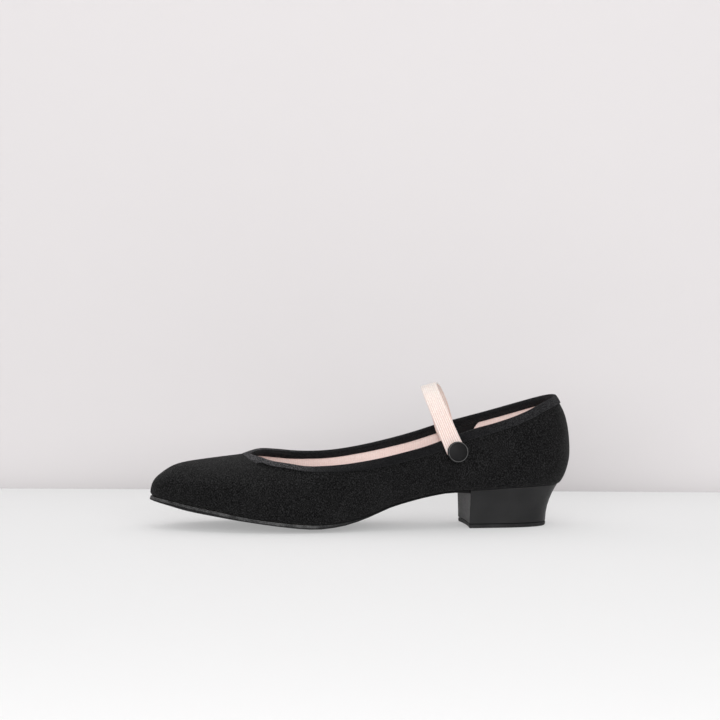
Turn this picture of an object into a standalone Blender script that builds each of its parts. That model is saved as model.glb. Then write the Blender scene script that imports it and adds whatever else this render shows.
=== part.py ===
"""A left character shoe: canvas upper, bound collar, elastic instep strap, snap button and low covered heel.

Metres. +X runs from the heel to the toe, +Y to the wearer's left (the outer side), +Z up. The shoe stands
on its top piece and on the ball of the outsole, both at z = 0.

The last's shape is one height field: an outline in plan, the height of the widest line, the ridge along
the top, and a rounded section between them. The upper, binding, strap ends and patch are all read from it.
Stations are shares of LENGTH from the back of the heel, and heights in the tables are shares of the named
size in the column's title.
"""

import math

import bmesh
import bpy
import numpy as np
from mathutils import Vector

# Driving dimensions of the last and the upper
LENGTH = 0.2505
BALL_WIDTH = 0.0806
HEEL_HEIGHT = 0.0247
TOE_SPRING = 0.0163
BACK_HEIGHT = 0.0517
INSTEP_HEIGHT = 0.0552
BULGE_HEIGHT = 0.0183
UPPER_WALL = 0.0019
TOPLINE_WALL = 0.0012
TOPLINE_TAPER = 0.0080
MARGIN_WIDTH = 0.0046
CLEARANCE = 0.0003

# Outsole and insole
SOLE_THICKNESS = 0.0026
SOLE_EDGE = 0.0030
SOLE_CUP = 0.0026
SOLE_REACH = 0.0016
SOLE_BEVEL = 0.0005
INSOLE_THICKNESS = 0.0020
INSOLE_BEVEL = 0.0004
INSOLE_INSET = 0.0031
INSOLE_SHARE = 0.62
MARGIN_EASE = 0.0014

# Heel
BREAST_STATION = 0.2545
HEEL_BASE_SIDE_CUT = 0.0050
HEEL_BASE_REAR_CUT = 0.0072
BREAST_HOLLOW = 0.0012
SEAT_RIM = 0.0028
TOP_PIECE_THICKNESS = 0.0024
TOP_PIECE_BEVEL = 0.0004

# Collar binding: its fold's shares are of its thickness over the edge and of the wall that it covers
BINDING_WIDTH = 0.0046
BINDING_INNER_WIDTH = 0.0036
BINDING_THICKNESS = 0.0005
BINDING_GAP = 0.0006
BINDING_EASE = 0.0002
FOLD_SHOULDER = 0.4
FOLD_CROWN = 0.3

# Strap, its patch and the button
STRAP_WIDTH = 0.0114
STRAP_THICKNESS = 0.0011
STRAP_TOP = 0.0838
STRAP_TOP_STATION = 0.3442
STRAP_FAR_STATION = 0.2885
STRAP_LEAN = math.radians(23.5)
STRAP_TOP_TILT = math.radians(14.0)
STRAP_NEAR_FULLNESS = 2.0
STRAP_FAR_FULLNESS = 3.0
STRAP_SKEW = 0.0041
STRAP_FAR_SWAY = 0.0115
STRAP_TUCK = 0.0150
STRAP_FREE = 0.0015
STRAP_HOLD = 0.0022
STRAP_BOW = 0.0006
STRAP_SETTLE = 0.0040
STRAP_END_REACH = 0.0030
STRAP_END_TAPER = 0.60
STRAP_EDGE_ROUND = 0.6
BUTTON_STATION = 0.2932
BUTTON_HEIGHT = 0.0462
BUTTON_DIAMETER = 0.0122
BUTTON_THICKNESS = 0.0027
BUTTON_RIM = 0.0011
BUTTON_DISH = 0.0005
BUTTON_SEAT_RADIUS = 0.0030
BUTTON_DISH_RADIUS = 0.0024
PATCH_THICKNESS = 0.0007
PATCH_FRONT_STATION = 0.3036
PATCH_REAR_STATION = 0.1945
PATCH_DEPTH = 0.0160
PATCH_CORNER = 0.0062
PATCH_CORNER_POWER = 5.0
PATCH_TAPE_GAP = 0.0005
PATCH_FALL = 0.0025

# The stations above as distances from the heel's back
BREAST_X = BREAST_STATION * LENGTH
STRAP_TOP_X = STRAP_TOP_STATION * LENGTH
STRAP_FAR_X = STRAP_FAR_STATION * LENGTH
BUTTON_X = BUTTON_STATION * LENGTH
PATCH_FRONT = PATCH_FRONT_STATION * LENGTH
PATCH_REAR = PATCH_REAR_STATION * LENGTH

# Plan outline of the upper's widest line
OUTLINE = (
    # station, outer side (share of BALL_WIDTH), inner side (share of BALL_WIDTH)
    (0.012, 0.155, 0.154),
    (0.032, 0.242, 0.239),
    (0.064, 0.306, 0.301),
    (0.120, 0.348, 0.340),
    (0.200, 0.364, 0.348),
    (0.300, 0.377, 0.341),
    (0.400, 0.410, 0.336),
    (0.500, 0.463, 0.361),
    (0.580, 0.500, 0.407),
    (0.645, 0.517, 0.459),
    (0.710, 0.510, 0.490),
    (0.770, 0.480, 0.489),
    (0.825, 0.429, 0.461),
    (0.877, 0.358, 0.409),
    (0.920, 0.277, 0.339),
    (0.956, 0.189, 0.257),
    (0.982, 0.098, 0.171),
    (0.996, 0.016, 0.100),
)
OUTLINE_TIP_SIDE = -0.042

# The last's underside along its middle, and how its parts follow it
BOTTOM = (
    # station, underside height (shares of HEEL_HEIGHT and TOE_SPRING), cup (share of SOLE_CUP),
    # sole edge (share of SOLE_EDGE), feather inset outer and inner (shares of BALL_WIDTH),
    # widest line above the feather (share of BULGE_HEIGHT)
    (0.000, 0.919, 0.000, 0.00, 0.67, 0.088, 0.088, 1.00),
    (0.050, 0.919, 0.000, 0.00, 0.67, 0.070, 0.070, 1.00),
    (0.120, 0.911, 0.000, 0.00, 0.67, 0.047, 0.047, 1.02),
    (0.190, 0.875, 0.000, 0.00, 0.67, 0.044, 0.050, 1.05),
    (0.253, 0.846, 0.000, 0.04, 0.60, 0.044, 0.062, 1.06),
    (0.300, 0.838, 0.000, 0.38, 0.32, 0.046, 0.085, 1.05),
    (0.355, 0.749, 0.000, 0.46, 0.33, 0.047, 0.105, 1.02),
    (0.403, 0.634, 0.000, 0.50, 0.35, 0.046, 0.105, 0.98),
    (0.450, 0.494, 0.000, 0.58, 0.38, 0.044, 0.090, 0.90),
    (0.500, 0.273, 0.000, 0.73, 0.45, 0.040, 0.066, 0.80),
    (0.550, 0.093, 0.000, 0.92, 0.58, 0.036, 0.046, 0.72),
    (0.590, 0.014, 0.000, 1.04, 0.65, 0.033, 0.036, 0.67),
    (0.618, -0.008, 0.000, 1.09, 0.67, 0.031, 0.033, 0.65),
    (0.650, -0.002, 0.008, 1.07, 0.67, 0.030, 0.031, 0.62),
    (0.700, 0.000, 0.088, 1.00, 0.67, 0.028, 0.028, 0.58),
    (0.755, 0.000, 0.204, 0.89, 0.68, 0.027, 0.027, 0.52),
    (0.810, 0.000, 0.334, 0.83, 0.77, 0.027, 0.027, 0.46),
    (0.865, 0.000, 0.484, 0.75, 0.92, 0.027, 0.027, 0.39),
    (0.920, 0.000, 0.645, 0.58, 1.02, 0.026, 0.026, 0.31),
    (0.960, 0.000, 0.818, 0.31, 1.00, 0.025, 0.025, 0.23),
    (1.000, 0.000, 1.000, 0.00, 0.83, 0.024, 0.024, 0.13),
)

# The ridge along the top of the last, from the back of the heel over the instep to the toe
RIDGE_BACK = (
    # station, height above the seat (share of BACK_HEIGHT)
    (0.0000, 0.360),
    (0.0006, 0.435),
    (0.0018, 0.530),
    (0.0038, 0.610),
    (0.0062, 0.680),
    (0.0102, 0.750),
    (0.0142, 0.820),
    (0.0190, 0.866),
    (0.0240, 0.912),
    (0.0310, 0.965),
    (0.0350, 1.000),
)
RIDGE_TOP = (
    # station, height above the floor (shares of HEEL_HEIGHT and INSTEP_HEIGHT), side (share of BALL_WIDTH)
    (0.055, 1.00, 0.975, 0.000),
    (0.120, 1.00, 1.000, -0.003),
    (0.200, 0.99, 0.985, -0.012),
    (0.300, 0.95, 0.930, -0.032),
    (0.400, 0.85, 0.860, -0.052),
    (0.480, 0.66, 0.835, -0.070),
    (0.560, 0.42, 0.830, -0.080),
    (0.640, 0.23, 0.840, -0.078),
    (0.700, 0.12, 0.835, -0.064),
    (0.740, 0.05, 0.812, -0.052),
    (0.768, 0.01, 0.783, -0.046),
    (0.790, 0.00, 0.772, -0.045),
    (0.835, 0.00, 0.748, -0.045),
    (0.885, 0.00, 0.719, -0.045),
    (0.931, 0.00, 0.685, -0.045),
    (0.955, 0.00, 0.640, -0.045),
    (0.968, 0.00, 0.602, -0.044),
    (0.979, 0.00, 0.560, -0.044),
    (0.9905, 0.00, 0.516, -0.043),
    (0.9975, 0.00, 0.452, -0.042),
)
SECTION_FULLNESS = (
    # station, exponent of the rounded section
    (0.00, 2.20),
    (0.25, 2.20),
    (0.45, 2.00),
    (0.60, 1.80),
    (0.70, 1.84),
    (0.80, 2.00),
    (1.00, 2.05),
)
TURN_FULLNESS = (
    # station, exponent of the rounded turn from the widest line down to the feather
    (0.00, 1.65),
    (0.06, 1.65),
    (0.14, 1.85),
    (0.24, 2.00),
    (0.50, 2.00),
    (1.00, 2.00),
)
TOPLINE = (
    # station, height above the floor (shares of HEEL_HEIGHT and BACK_HEIGHT), outer side then inner side
    (0.050, 0.99, 0.982, 0.99, 0.987),
    (0.080, 0.98, 0.934, 0.98, 0.944),
    (0.112, 0.96, 0.874, 0.97, 0.898),
    (0.150, 0.92, 0.824, 0.94, 0.855),
    (0.200, 0.87, 0.774, 0.90, 0.805),
    (0.250, 0.80, 0.745, 0.84, 0.770),
    (0.300, 0.70, 0.712, 0.75, 0.750),
    (0.360, 0.57, 0.675, 0.61, 0.727),
    (0.430, 0.42, 0.662, 0.46, 0.710),
    (0.500, 0.28, 0.656, 0.31, 0.709),
    (0.570, 0.14, 0.672, 0.17, 0.729),
    (0.640, 0.04, 0.705, 0.06, 0.776),
    (0.690, 0.01, 0.740, 0.02, 0.820),
    (0.725, 0.00, 0.761, 0.00, 0.848),
    (0.750, 0.00, 0.792, 0.00, 0.853),
)
BACK_STATION = 0.0350
THROAT_STATION = 0.7665

SOLE_OUTLINE = (
    # station, edge beyond the feather (share of SOLE_REACH), drawn into the heel's pocket (share of its rim)
    (0.000, 0.00, 1.0),
    (0.262, 0.00, 1.0),
    (0.300, 0.00, 0.2),
    (0.350, 0.00, 0.0),
    (0.450, 0.15, 0.0),
    (0.550, 0.55, 0.0),
    (0.650, 0.85, 0.0),
    (0.750, 0.95, 0.0),
    (0.920, 1.00, 0.0),
    (1.000, 1.45, 0.0),
)

# How far down the heel its outlines are taken
HEEL_FALLS = (0.0, 0.12, 0.26, 0.42, 0.60, 0.80, 1.0)

# Where the upper's mesh lines change from the quarter to the vamp, on the outline and on the topline
OUTLINE_TURN = 0.700
TOPLINE_TURN = 0.655
# The ends of the line that the sole's and margin's rings shrink towards
SPINE_BACK = 0.075
SPINE_FRONT = 0.925

# Shares of the way to that line at which the sole's and the insole's faces have their rings
SOLE_RINGS = (0.16, 0.42, 0.70)
INSOLE_RINGS = (0.75, 0.45)
# The furthest share of the way that a point is moved in, and the flat share of the sole's width
INWARD_LIMIT = 0.9
FLAT_SHARE = 0.2
POCKET_REACH = 0.0084
SLOPE_STEP = 0.0005
SHARP_ANGLE = math.radians(40.0)

# Numbers of faces and of points sampled along curves
CURVE_SAMPLES = 24
TOPLINE_SAMPLES = 240
BINDING_SAMPLES = 45
BINDING_FIRST_ROW = 0.45
REAR_STEPS = 28
FRONT_STEPS = 20
LOWER_STEPS = 4
UPPER_STEPS = 7
TOP_CROWDING = 1.04
SOLE_STEPS = 40
INSOLE_STEPS = 32
HEEL_SIDE_STEPS = 15
BREAST_STEPS = 5
STRAP_ARCH_STEPS = 22
STRAP_END_STEPS = 6
PATCH_COLUMNS = 14
PATCH_ROWS = 7
BUTTON_SIDES = 32
HALF = 0.5

CANVAS = ("canvas", (0.018, 0.018, 0.019), 0.92)
TAPE = ("binding_tape", (0.020, 0.020, 0.022), 0.80)
PINK_ELASTIC = ("pink_elastic", (0.90, 0.76, 0.71), 0.75)
INSOLE_LINING = ("insole_lining", (0.72, 0.56, 0.50), 0.90)
RUBBER = ("sole_rubber", (0.030, 0.030, 0.031), 0.70)
COVERED_HEEL = ("covered_heel", (0.035, 0.035, 0.037), 0.35)
SNAP_CAP = ("snap_cap", (0.012, 0.012, 0.014), 0.35)
PATCH_CLOTH = ("patch_cloth", (0.016, 0.016, 0.017), 0.85)


def columns(table):
    """The table's columns as arrays."""
    return np.array(table, dtype=float).T


def smooth_curve(points):
    """A centripetal Catmull-Rom curve through the points, with its ends reflected."""
    knots = np.array(points, dtype=float)
    knots = np.vstack((2.0 * knots[0] - knots[1], knots, 2.0 * knots[-1] - knots[-2]))
    times = np.concatenate(([0.0], np.cumsum(np.sqrt(np.linalg.norm(np.diff(knots, axis=0), axis=1)))))
    curve = []
    for i in range(1, len(knots) - 2):
        t0, t1, t2, t3 = times[i - 1:i + 3]
        for t in np.linspace(t1, t2, CURVE_SAMPLES, endpoint=False):
            a1 = (t1 - t) / (t1 - t0) * knots[i - 1] + (t - t0) / (t1 - t0) * knots[i]
            a2 = (t2 - t) / (t2 - t1) * knots[i] + (t - t1) / (t2 - t1) * knots[i + 1]
            a3 = (t3 - t) / (t3 - t2) * knots[i + 1] + (t - t2) / (t3 - t2) * knots[i + 2]
            b1 = (t2 - t) / (t2 - t0) * a1 + (t - t0) / (t2 - t0) * a2
            b2 = (t3 - t) / (t3 - t1) * a2 + (t - t1) / (t3 - t1) * a3
            curve.append((t2 - t) / (t2 - t1) * b1 + (t - t1) / (t2 - t1) * b2)
    curve.append(knots[-2])
    return np.array(curve)


def smooth_rows(stations, values):
    """A function of x, in metres, that runs smoothly through the table's rows."""
    curve = smooth_curve(np.column_stack((stations, values)))
    return lambda x: np.interp(x, curve[:, 0] * LENGTH, curve[:, 1])


class Last:
    """The shape that the shoe is made on, as functions of the distance x from the heel's back."""

    def __init__(self):
        station, outer, inner = columns(OUTLINE)
        self.run = self.outline_runs(station * LENGTH, outer * BALL_WIDTH, -inner * BALL_WIDTH)

        station, heel, spring, cup, edge, inset_outer, inset_inner, bulge = columns(BOTTOM)
        self.tread = smooth_rows(station, heel * HEEL_HEIGHT + spring * TOE_SPRING)
        self.cup = smooth_rows(station, cup * SOLE_CUP)
        self.edge = smooth_rows(station, edge * SOLE_EDGE)
        self.bulge = smooth_rows(station, bulge * BULGE_HEIGHT)
        self.inset = {
            1: smooth_rows(station, inset_outer * BALL_WIDTH),
            -1: smooth_rows(station, inset_inner * BALL_WIDTH),
        }
        station, reach, pocket = columns(SOLE_OUTLINE)
        self.sole_reach = smooth_rows(station, reach * SOLE_REACH - pocket * (SEAT_RIM + CLEARANCE))

        station, share = columns(RIDGE_BACK)
        back_ridge = np.column_stack((station * LENGTH, HEEL_HEIGHT + share * BACK_HEIGHT))
        station, heel, instep, side = columns(RIDGE_TOP)
        top_ridge = np.column_stack((station * LENGTH, heel * HEEL_HEIGHT + instep * INSTEP_HEIGHT))
        toe = (LENGTH, float(self.widest(LENGTH)))
        ridge = smooth_curve(np.vstack((back_ridge, top_ridge, [toe])))
        self.ridge_x = np.maximum.accumulate(ridge[:, 0])
        self.ridge_z = ridge[:, 1]
        self.ridge_side = smooth_rows(np.append(station, 1.0), np.append(side, OUTLINE_TIP_SIDE) * BALL_WIDTH)
        self.fullness = smooth_rows(*columns(SECTION_FULLNESS))
        self.turn = smooth_rows(*columns(TURN_FULLNESS))

        station, heel_outer, back_outer, heel_inner, back_inner = columns(TOPLINE)
        station = np.concatenate(([BACK_STATION], station, [THROAT_STATION]))
        back, throat = self.ridge(np.array((BACK_STATION, THROAT_STATION)) * LENGTH)
        outer = np.concatenate(([back], heel_outer * HEEL_HEIGHT + back_outer * BACK_HEIGHT, [throat]))
        inner = np.concatenate(([back], heel_inner * HEEL_HEIGHT + back_inner * BACK_HEIGHT, [throat]))
        self.top_height = {1: smooth_rows(station, outer), -1: smooth_rows(station, inner)}

    @staticmethod
    def outline_runs(x, outer, inner):
        """The outer (+1) and inner (-1) halves of the plan outline, each from the heel's back to the toe."""
        back = [(0.0, 0.0)]
        tip = [(LENGTH, OUTLINE_TIP_SIDE * BALL_WIDTH)]
        outer_side = np.column_stack((x, outer))
        inner_side = np.column_stack((x, inner))[::-1]
        loop = np.vstack((inner_side[-2:], back, outer_side, tip, inner_side, back, outer_side[:2]))
        curve = smooth_curve(loop)
        first = 2 * CURVE_SAMPLES
        middle = first + (len(x) + 1) * CURVE_SAMPLES
        last = middle + (len(x) + 1) * CURVE_SAMPLES
        return {1: curve[first:middle + 1], -1: curve[middle:last + 1][::-1]}

    def feather(self, x):
        """The height of the outsole's upper edge, where the upper turns under."""
        return np.maximum(self.tread(x) + self.cup(x), 0.0) + self.edge(x)

    def widest(self, x):
        """The height of the upper's widest line."""
        return self.feather(x) + CLEARANCE + self.bulge(x)

    def ridge(self, x):
        """The height of the last's ridge, at least the widest line's."""
        return np.maximum(np.interp(x, self.ridge_x, self.ridge_z), self.widest(x))

    def middle(self, x):
        """The ridge's place across the shoe, 0 at the heel's back."""
        return self.ridge_side(x) * np.clip(x / (SPINE_BACK * LENGTH), 0.0, 1.0)

    def outline(self, x, side):
        """The y of the plan outline at x."""
        return np.interp(x, self.run[side][:, 0], self.run[side][:, 1])

    def height(self, x, y):
        """The height of the last's upper surface over a point in plan."""
        offset = y - float(self.middle(x))
        side = 1 if offset >= 0.0 else -1
        reach = min(abs(offset) / max(abs(float(self.outline(x, side) - self.middle(x))), 1e-6), 1.0)
        power = float(self.fullness(x))
        low = float(self.widest(x))
        return low + (float(self.ridge(x)) - low) * (1.0 - reach ** power) ** (1.0 / power)

    def side_at(self, x, z, side):
        """The y of the upper's outer surface at a station and a height."""
        power = float(self.fullness(x))
        low = float(self.widest(x))
        middle = float(self.middle(x))
        reach = float(self.outline(x, side)) - middle
        if z < low:
            down = min((low - z) / float(self.bulge(x)), 1.0)
            turn = float(self.turn(x))
            tuck = float(self.inset[side](x)) * (1.0 - (1.0 - down ** turn) ** (1.0 / turn))
            return middle + reach - side * tuck
        share = min((z - low) / max(float(self.ridge(x)) - low, 1e-6), 1.0)
        return middle + reach * (1.0 - share ** power) ** (1.0 / power)

    def side_point(self, x, z, side, outward):
        """A point a distance outward of the upper's outer surface."""
        step = SLOPE_STEP
        y = self.side_at(x, z, side)
        slope_x = (self.side_at(x + step, z, side) - self.side_at(x - step, z, side)) / (2.0 * step)
        slope_z = (self.side_at(x, z + step, side) - self.side_at(x, z - step, side)) / (2.0 * step)
        normal = Vector((-slope_x, 1.0, -slope_z)).normalized() * side
        return Vector((x, y, z)) + normal * outward, normal

    def dip(self, x, y):
        """How far a point lies in the sole's hollow middle: 0 at its edges, 1 over the middle fifth."""
        outer = float(self.outline(x, 1) - self.inset[1](x))
        inner = float(self.outline(x, -1) + self.inset[-1](x))
        across = abs(y - HALF * (outer + inner)) / max(HALF * (outer - inner), 1e-6)
        return 1.0 - min(max((across - FLAT_SHARE) / (1.0 - FLAT_SHARE), 0.0), 1.0) ** 2

    def sole_top(self, x, y):
        """The height of the outsole's upper face."""
        drop = max(float(self.cup(x) + self.edge(x)) - SOLE_THICKNESS, 0.0)
        return float(self.feather(x)) - drop * self.dip(x, y)

    def sole_under(self, x, y):
        """The height of the outsole's underside, flat at 0 under the ball."""
        return max(float(self.tread(x)) + float(self.cup(x)) * (1.0 - self.dip(x, y)), 0.0)

    def spine(self, point):
        """The point of the sole's middle line that a ring through the point shrinks towards."""
        x = min(max(float(point[0]), SPINE_BACK * LENGTH), SPINE_FRONT * LENGTH)
        return np.array((x, HALF * float(self.outline(x, 1) + self.outline(x, -1))))

    def inward(self, point, distance):
        """The point moved a distance towards the spine."""
        way = self.spine(point) - point
        return point + way * min(distance / np.linalg.norm(way), INWARD_LIMIT)

    def inset_run(self, side, inset):
        """One half of the outline moved in along its own normals by inset(x)."""
        run = self.run[side]
        along = np.gradient(run, axis=0)
        along[0] = along[1] * (0.0, 1.0)
        along[-1] = along[-2] * (0.0, 1.0)
        along /= np.linalg.norm(along, axis=1)[:, None]
        inner_normal = np.column_stack((along[:, 1], -along[:, 0])) * side
        return run + inner_normal * np.vectorize(inset)(run[:, 0])[:, None]

    def feather_run(self, side):
        """One half of the feather line in plan."""
        return self.inset_run(side, lambda x: float(self.inset[side](x)))

    def topline(self, side):
        """The topline of one side in plan, from the heel's back to the throat."""
        rear = BACK_STATION * LENGTH
        front = THROAT_STATION * LENGTH
        points = []
        for k in range(TOPLINE_SAMPLES + 1):
            x = rear + (front - rear) * HALF * (1.0 - math.cos(math.pi * k / TOPLINE_SAMPLES))
            points.append((x, self.side_at(x, float(self.top_height[side](x)), side)))
        return np.array(points)


def arc_resample(points, shares):
    """Points at the given shares of a polyline's length."""
    lengths = np.concatenate(([0.0], np.cumsum(np.linalg.norm(np.diff(points, axis=0), axis=1))))
    wanted = np.asarray(shares) * lengths[-1]
    return np.column_stack([np.interp(wanted, lengths, points[:, i]) for i in range(points.shape[1])])


def split_run(run, x):
    """A run of points cut in two at x."""
    crossing = np.array([[x, np.interp(x, run[:, 0], run[:, 1])]])
    return np.vstack((run[run[:, 0] < x], crossing)), np.vstack((crossing, run[run[:, 0] > x]))


def half_loop(run, turn):
    """Points along one side from the back to the tip, with both parts of the run evenly divided."""
    rear, front = split_run(run, turn)
    rear_points = arc_resample(rear, np.linspace(0.0, 1.0, REAR_STEPS + 1))
    front_points = arc_resample(front, np.linspace(0.0, 1.0, FRONT_STEPS + 1))
    return np.vstack((rear_points, front_points[1:]))


def full_loop(outer, inner):
    """One closed loop from two halves that share their first and last points."""
    return np.vstack((outer, inner[-2:0:-1]))


def even_loop(outer, inner, steps):
    """One closed loop from two runs, each divided into steps; point i pairs with point -i across the shoe."""
    shares = np.linspace(0.0, 1.0, steps + 1)
    return full_loop(arc_resample(outer, shares), arc_resample(inner, shares))


def loft(name, rings, finish, closed=False):
    """A solid through rings of equal counts: closed from the last ring to the first, or capped at both."""
    mesh = bpy.data.meshes.new(name)
    form = bmesh.new()
    verts = [[form.verts.new(point) for point in ring] for ring in rings]
    count = len(rings[0])
    pairs = list(zip(verts, verts[1:]))
    if closed:
        pairs.append((verts[-1], verts[0]))
    for lower, upper in pairs:
        for i in range(count):
            j = (i + 1) % count
            form.faces.new((lower[i], lower[j], upper[j], upper[i]))
    if not closed:
        cap(form, verts[0], flip=True)
        cap(form, verts[-1], flip=False)
    bmesh.ops.recalc_face_normals(form, faces=form.faces)
    form.to_mesh(mesh)
    form.free()
    return add_object(name, mesh, finish)


def cap(form, ring, flip):
    """Closes a ring whose point i faces point -i."""
    count = len(ring)
    for i in range(count // 2):
        corners = [ring[i], ring[(i + 1) % count], ring[(count - i - 1) % count], ring[(count - i) % count]]
        corners = list(dict.fromkeys(corners))
        form.faces.new(corners[::-1] if flip else corners)


def add_object(name, mesh, finish):
    """An object with a material of its own, under the shoe's empty."""
    title, colour, roughness = finish
    material = bpy.data.materials.new(title)
    material.use_nodes = True
    shader = material.node_tree.nodes["Principled BSDF"]
    shader.inputs["Base Color"].default_value = (*colour, 1.0)
    shader.inputs["Roughness"].default_value = roughness
    mesh.materials.append(material)
    mesh.shade_smooth()
    mesh.set_sharp_from_angle(angle=SHARP_ANGLE)
    item = bpy.data.objects.new(name, mesh)
    bpy.context.scene.collection.objects.link(item)
    return item


def grid_normals(grid):
    """Outward unit normals of a grid of rings, closed round each ring and open from ring to ring."""
    across = np.gradient(grid, axis=0)
    around = np.roll(grid, -1, axis=1) - np.roll(grid, 1, axis=1)
    normals = np.cross(across, around)
    return normals / np.linalg.norm(normals, axis=2)[:, :, None]


def wall_surface(last, rows):
    """Points of the upper's outer surface between the outline (row 0) and the topline (row 1)."""
    outline = full_loop(*(half_loop(last.run[side], OUTLINE_TURN * LENGTH) for side in (1, -1)))
    top = full_loop(*(half_loop(last.topline(side), TOPLINE_TURN * LENGTH) for side in (1, -1)))
    surface = []
    for row in rows:
        plan = outline + (top - outline) * (1.0 - math.cos(HALF * math.pi * row))
        surface.append([(x, y, last.height(x, y)) for x, y in plan])
    return np.array(surface)


def lower_surface(last):
    """Points of the upper from its turned-in margin up to the outline, ring by ring."""
    outline = full_loop(*(half_loop(last.run[side], OUTLINE_TURN * LENGTH) for side in (1, -1)))
    feather = full_loop(*(half_loop(last.feather_run(side), OUTLINE_TURN * LENGTH) for side in (1, -1)))
    surface = [[(*last.inward(point, MARGIN_WIDTH), 0.0) for point in feather]]
    surface[0] = [(x, y, last.sole_top(x, y) + CLEARANCE) for x, y, z in surface[0]]
    for k in range(LOWER_STEPS):
        angle = HALF * math.pi * (1.0 - k / LOWER_STEPS)
        ring = []
        for edge, wide in zip(feather, outline):
            bend = 2.0 / float(last.turn(wide[0]))
            x, y = wide + (edge - wide) * (1.0 - math.cos(angle) ** bend)
            low = last.sole_top(*edge) + CLEARANCE
            high = float(last.widest(wide[0]))
            ring.append((x, y, high + (low - high) * math.sin(angle) ** bend))
        surface.append(ring)
    return np.array(surface)


def make_upper(last):
    """The canvas upper: one wall from the margin under the insole up to the collar."""
    rows = 1.0 - (1.0 - np.linspace(0.0, 1.0, UPPER_STEPS + 1)) ** TOP_CROWDING
    outside = np.concatenate((lower_surface(last), wall_surface(last, rows)))
    below_top = np.linalg.norm(outside - outside[-1], axis=2)
    wall = np.vectorize(wall_at)(below_top)
    inside = outside - grid_normals(outside) * wall[:, :, None]
    return loft("upper", list(outside) + list(inside[::-1]), CANVAS, closed=True)


def make_binding(last):
    """The folded tape round the collar: a channel over the upper's edge, following the wall on both faces."""
    rows = np.linspace(BINDING_FIRST_ROW, 1.0, BINDING_SAMPLES)
    surface = wall_surface(last, rows)
    normals = grid_normals(surface)
    count = surface.shape[1]
    steps = np.linalg.norm(np.diff(surface, axis=0), axis=2)
    below = np.vstack((np.cumsum(steps[::-1], axis=0)[::-1], np.zeros(count)))
    around = np.roll(surface[-1], -1, axis=0) - np.roll(surface[-1], 1, axis=0)
    down = surface[-2] - surface[-1]
    around /= np.linalg.norm(around, axis=1)[:, None]
    down /= np.linalg.norm(down, axis=1)[:, None]
    slant = np.linalg.norm(np.cross(around, down), axis=1)

    near = BINDING_GAP
    far = BINDING_GAP + BINDING_THICKNESS
    wall = TOPLINE_WALL
    profile = (
        # distance below the upper's edge, distance outward of its outer face
        (BINDING_WIDTH, far),
        (BINDING_WIDTH, near),
        (-near, near),
        (-near, -wall - near),
        (BINDING_INNER_WIDTH, -wall - near),
        (BINDING_INNER_WIDTH, -wall - far),
        (-far * FOLD_SHOULDER, -wall - far),
        (-far, -wall * (1.0 - FOLD_CROWN)),
        (-far, -wall * FOLD_CROWN),
        (-far * FOLD_SHOULDER, far),
    )
    rings = []
    for depth, outward in profile:
        ring = []
        for i in range(count):
            reach = max(depth, 0.0) / slant[i]
            point = np.array([np.interp(-reach, -below[:, i], surface[:, i, k]) for k in range(3)])
            normal = np.array([np.interp(-reach, -below[:, i], normals[:, i, k]) for k in range(3)])
            swell = wall_at(depth) - wall + BINDING_EASE if outward < -wall else 0.0
            ring.append(point + normal * (outward - swell) + down[i] * min(depth, 0.0))
        rings.append(ring)
    return loft("collar_binding", rings, TAPE, closed=True)


def ease(share):
    """A smooth step from 0 to 1."""
    share = min(max(share, 0.0), 1.0)
    return share * share * (3.0 - 2.0 * share)


def wall_at(depth):
    """The upper's wall at a depth below the topline, skived towards its edge."""
    return TOPLINE_WALL + (UPPER_WALL - TOPLINE_WALL) * ease(depth / TOPLINE_TAPER)


def shrink(last, loop, share):
    """A loop in plan drawn towards the spine by a share of the way."""
    return np.array([point + (last.spine(point) - point) * share for point in loop])


def step_in(last, loop, distance):
    """A loop in plan drawn towards the spine by a distance."""
    return np.array([last.inward(point, distance) for point in loop])


def at_height(loop, height, lift=0.0):
    """A plan loop as points in space, on a height function of x and y."""
    return [(x, y, height(x, y) + lift) for x, y in loop]


def sole_run(last, side):
    """One half of the outsole's outline."""
    return last.inset_run(side, lambda x: float(last.inset[side](x) - last.sole_reach(x)))


def make_outsole(last):
    """The outsole: a convex sheet with thin waist edges, drawn into the heel's pocket at the seat."""
    edge = even_loop(sole_run(last, 1), sole_run(last, -1), SOLE_STEPS)
    upper_edge = step_in(last, edge, SOLE_BEVEL)
    under = [at_height(shrink(last, edge, share), last.sole_under) for share in SOLE_RINGS]
    rings = [at_height(shrink(last, edge, share), last.sole_top) for share in SOLE_RINGS[::-1]]
    rings.append(at_height(upper_edge, last.sole_top))
    rings.append([(x, y, last.sole_top(x, y) - SOLE_BEVEL) for x, y in edge])
    rings.append([(x, y, last.sole_under(x, y) + HALF * SOLE_BEVEL) for x, y in edge])
    rings.append(at_height(upper_edge, last.sole_under))
    return loft("outsole", rings + under, RUBBER)


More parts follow.
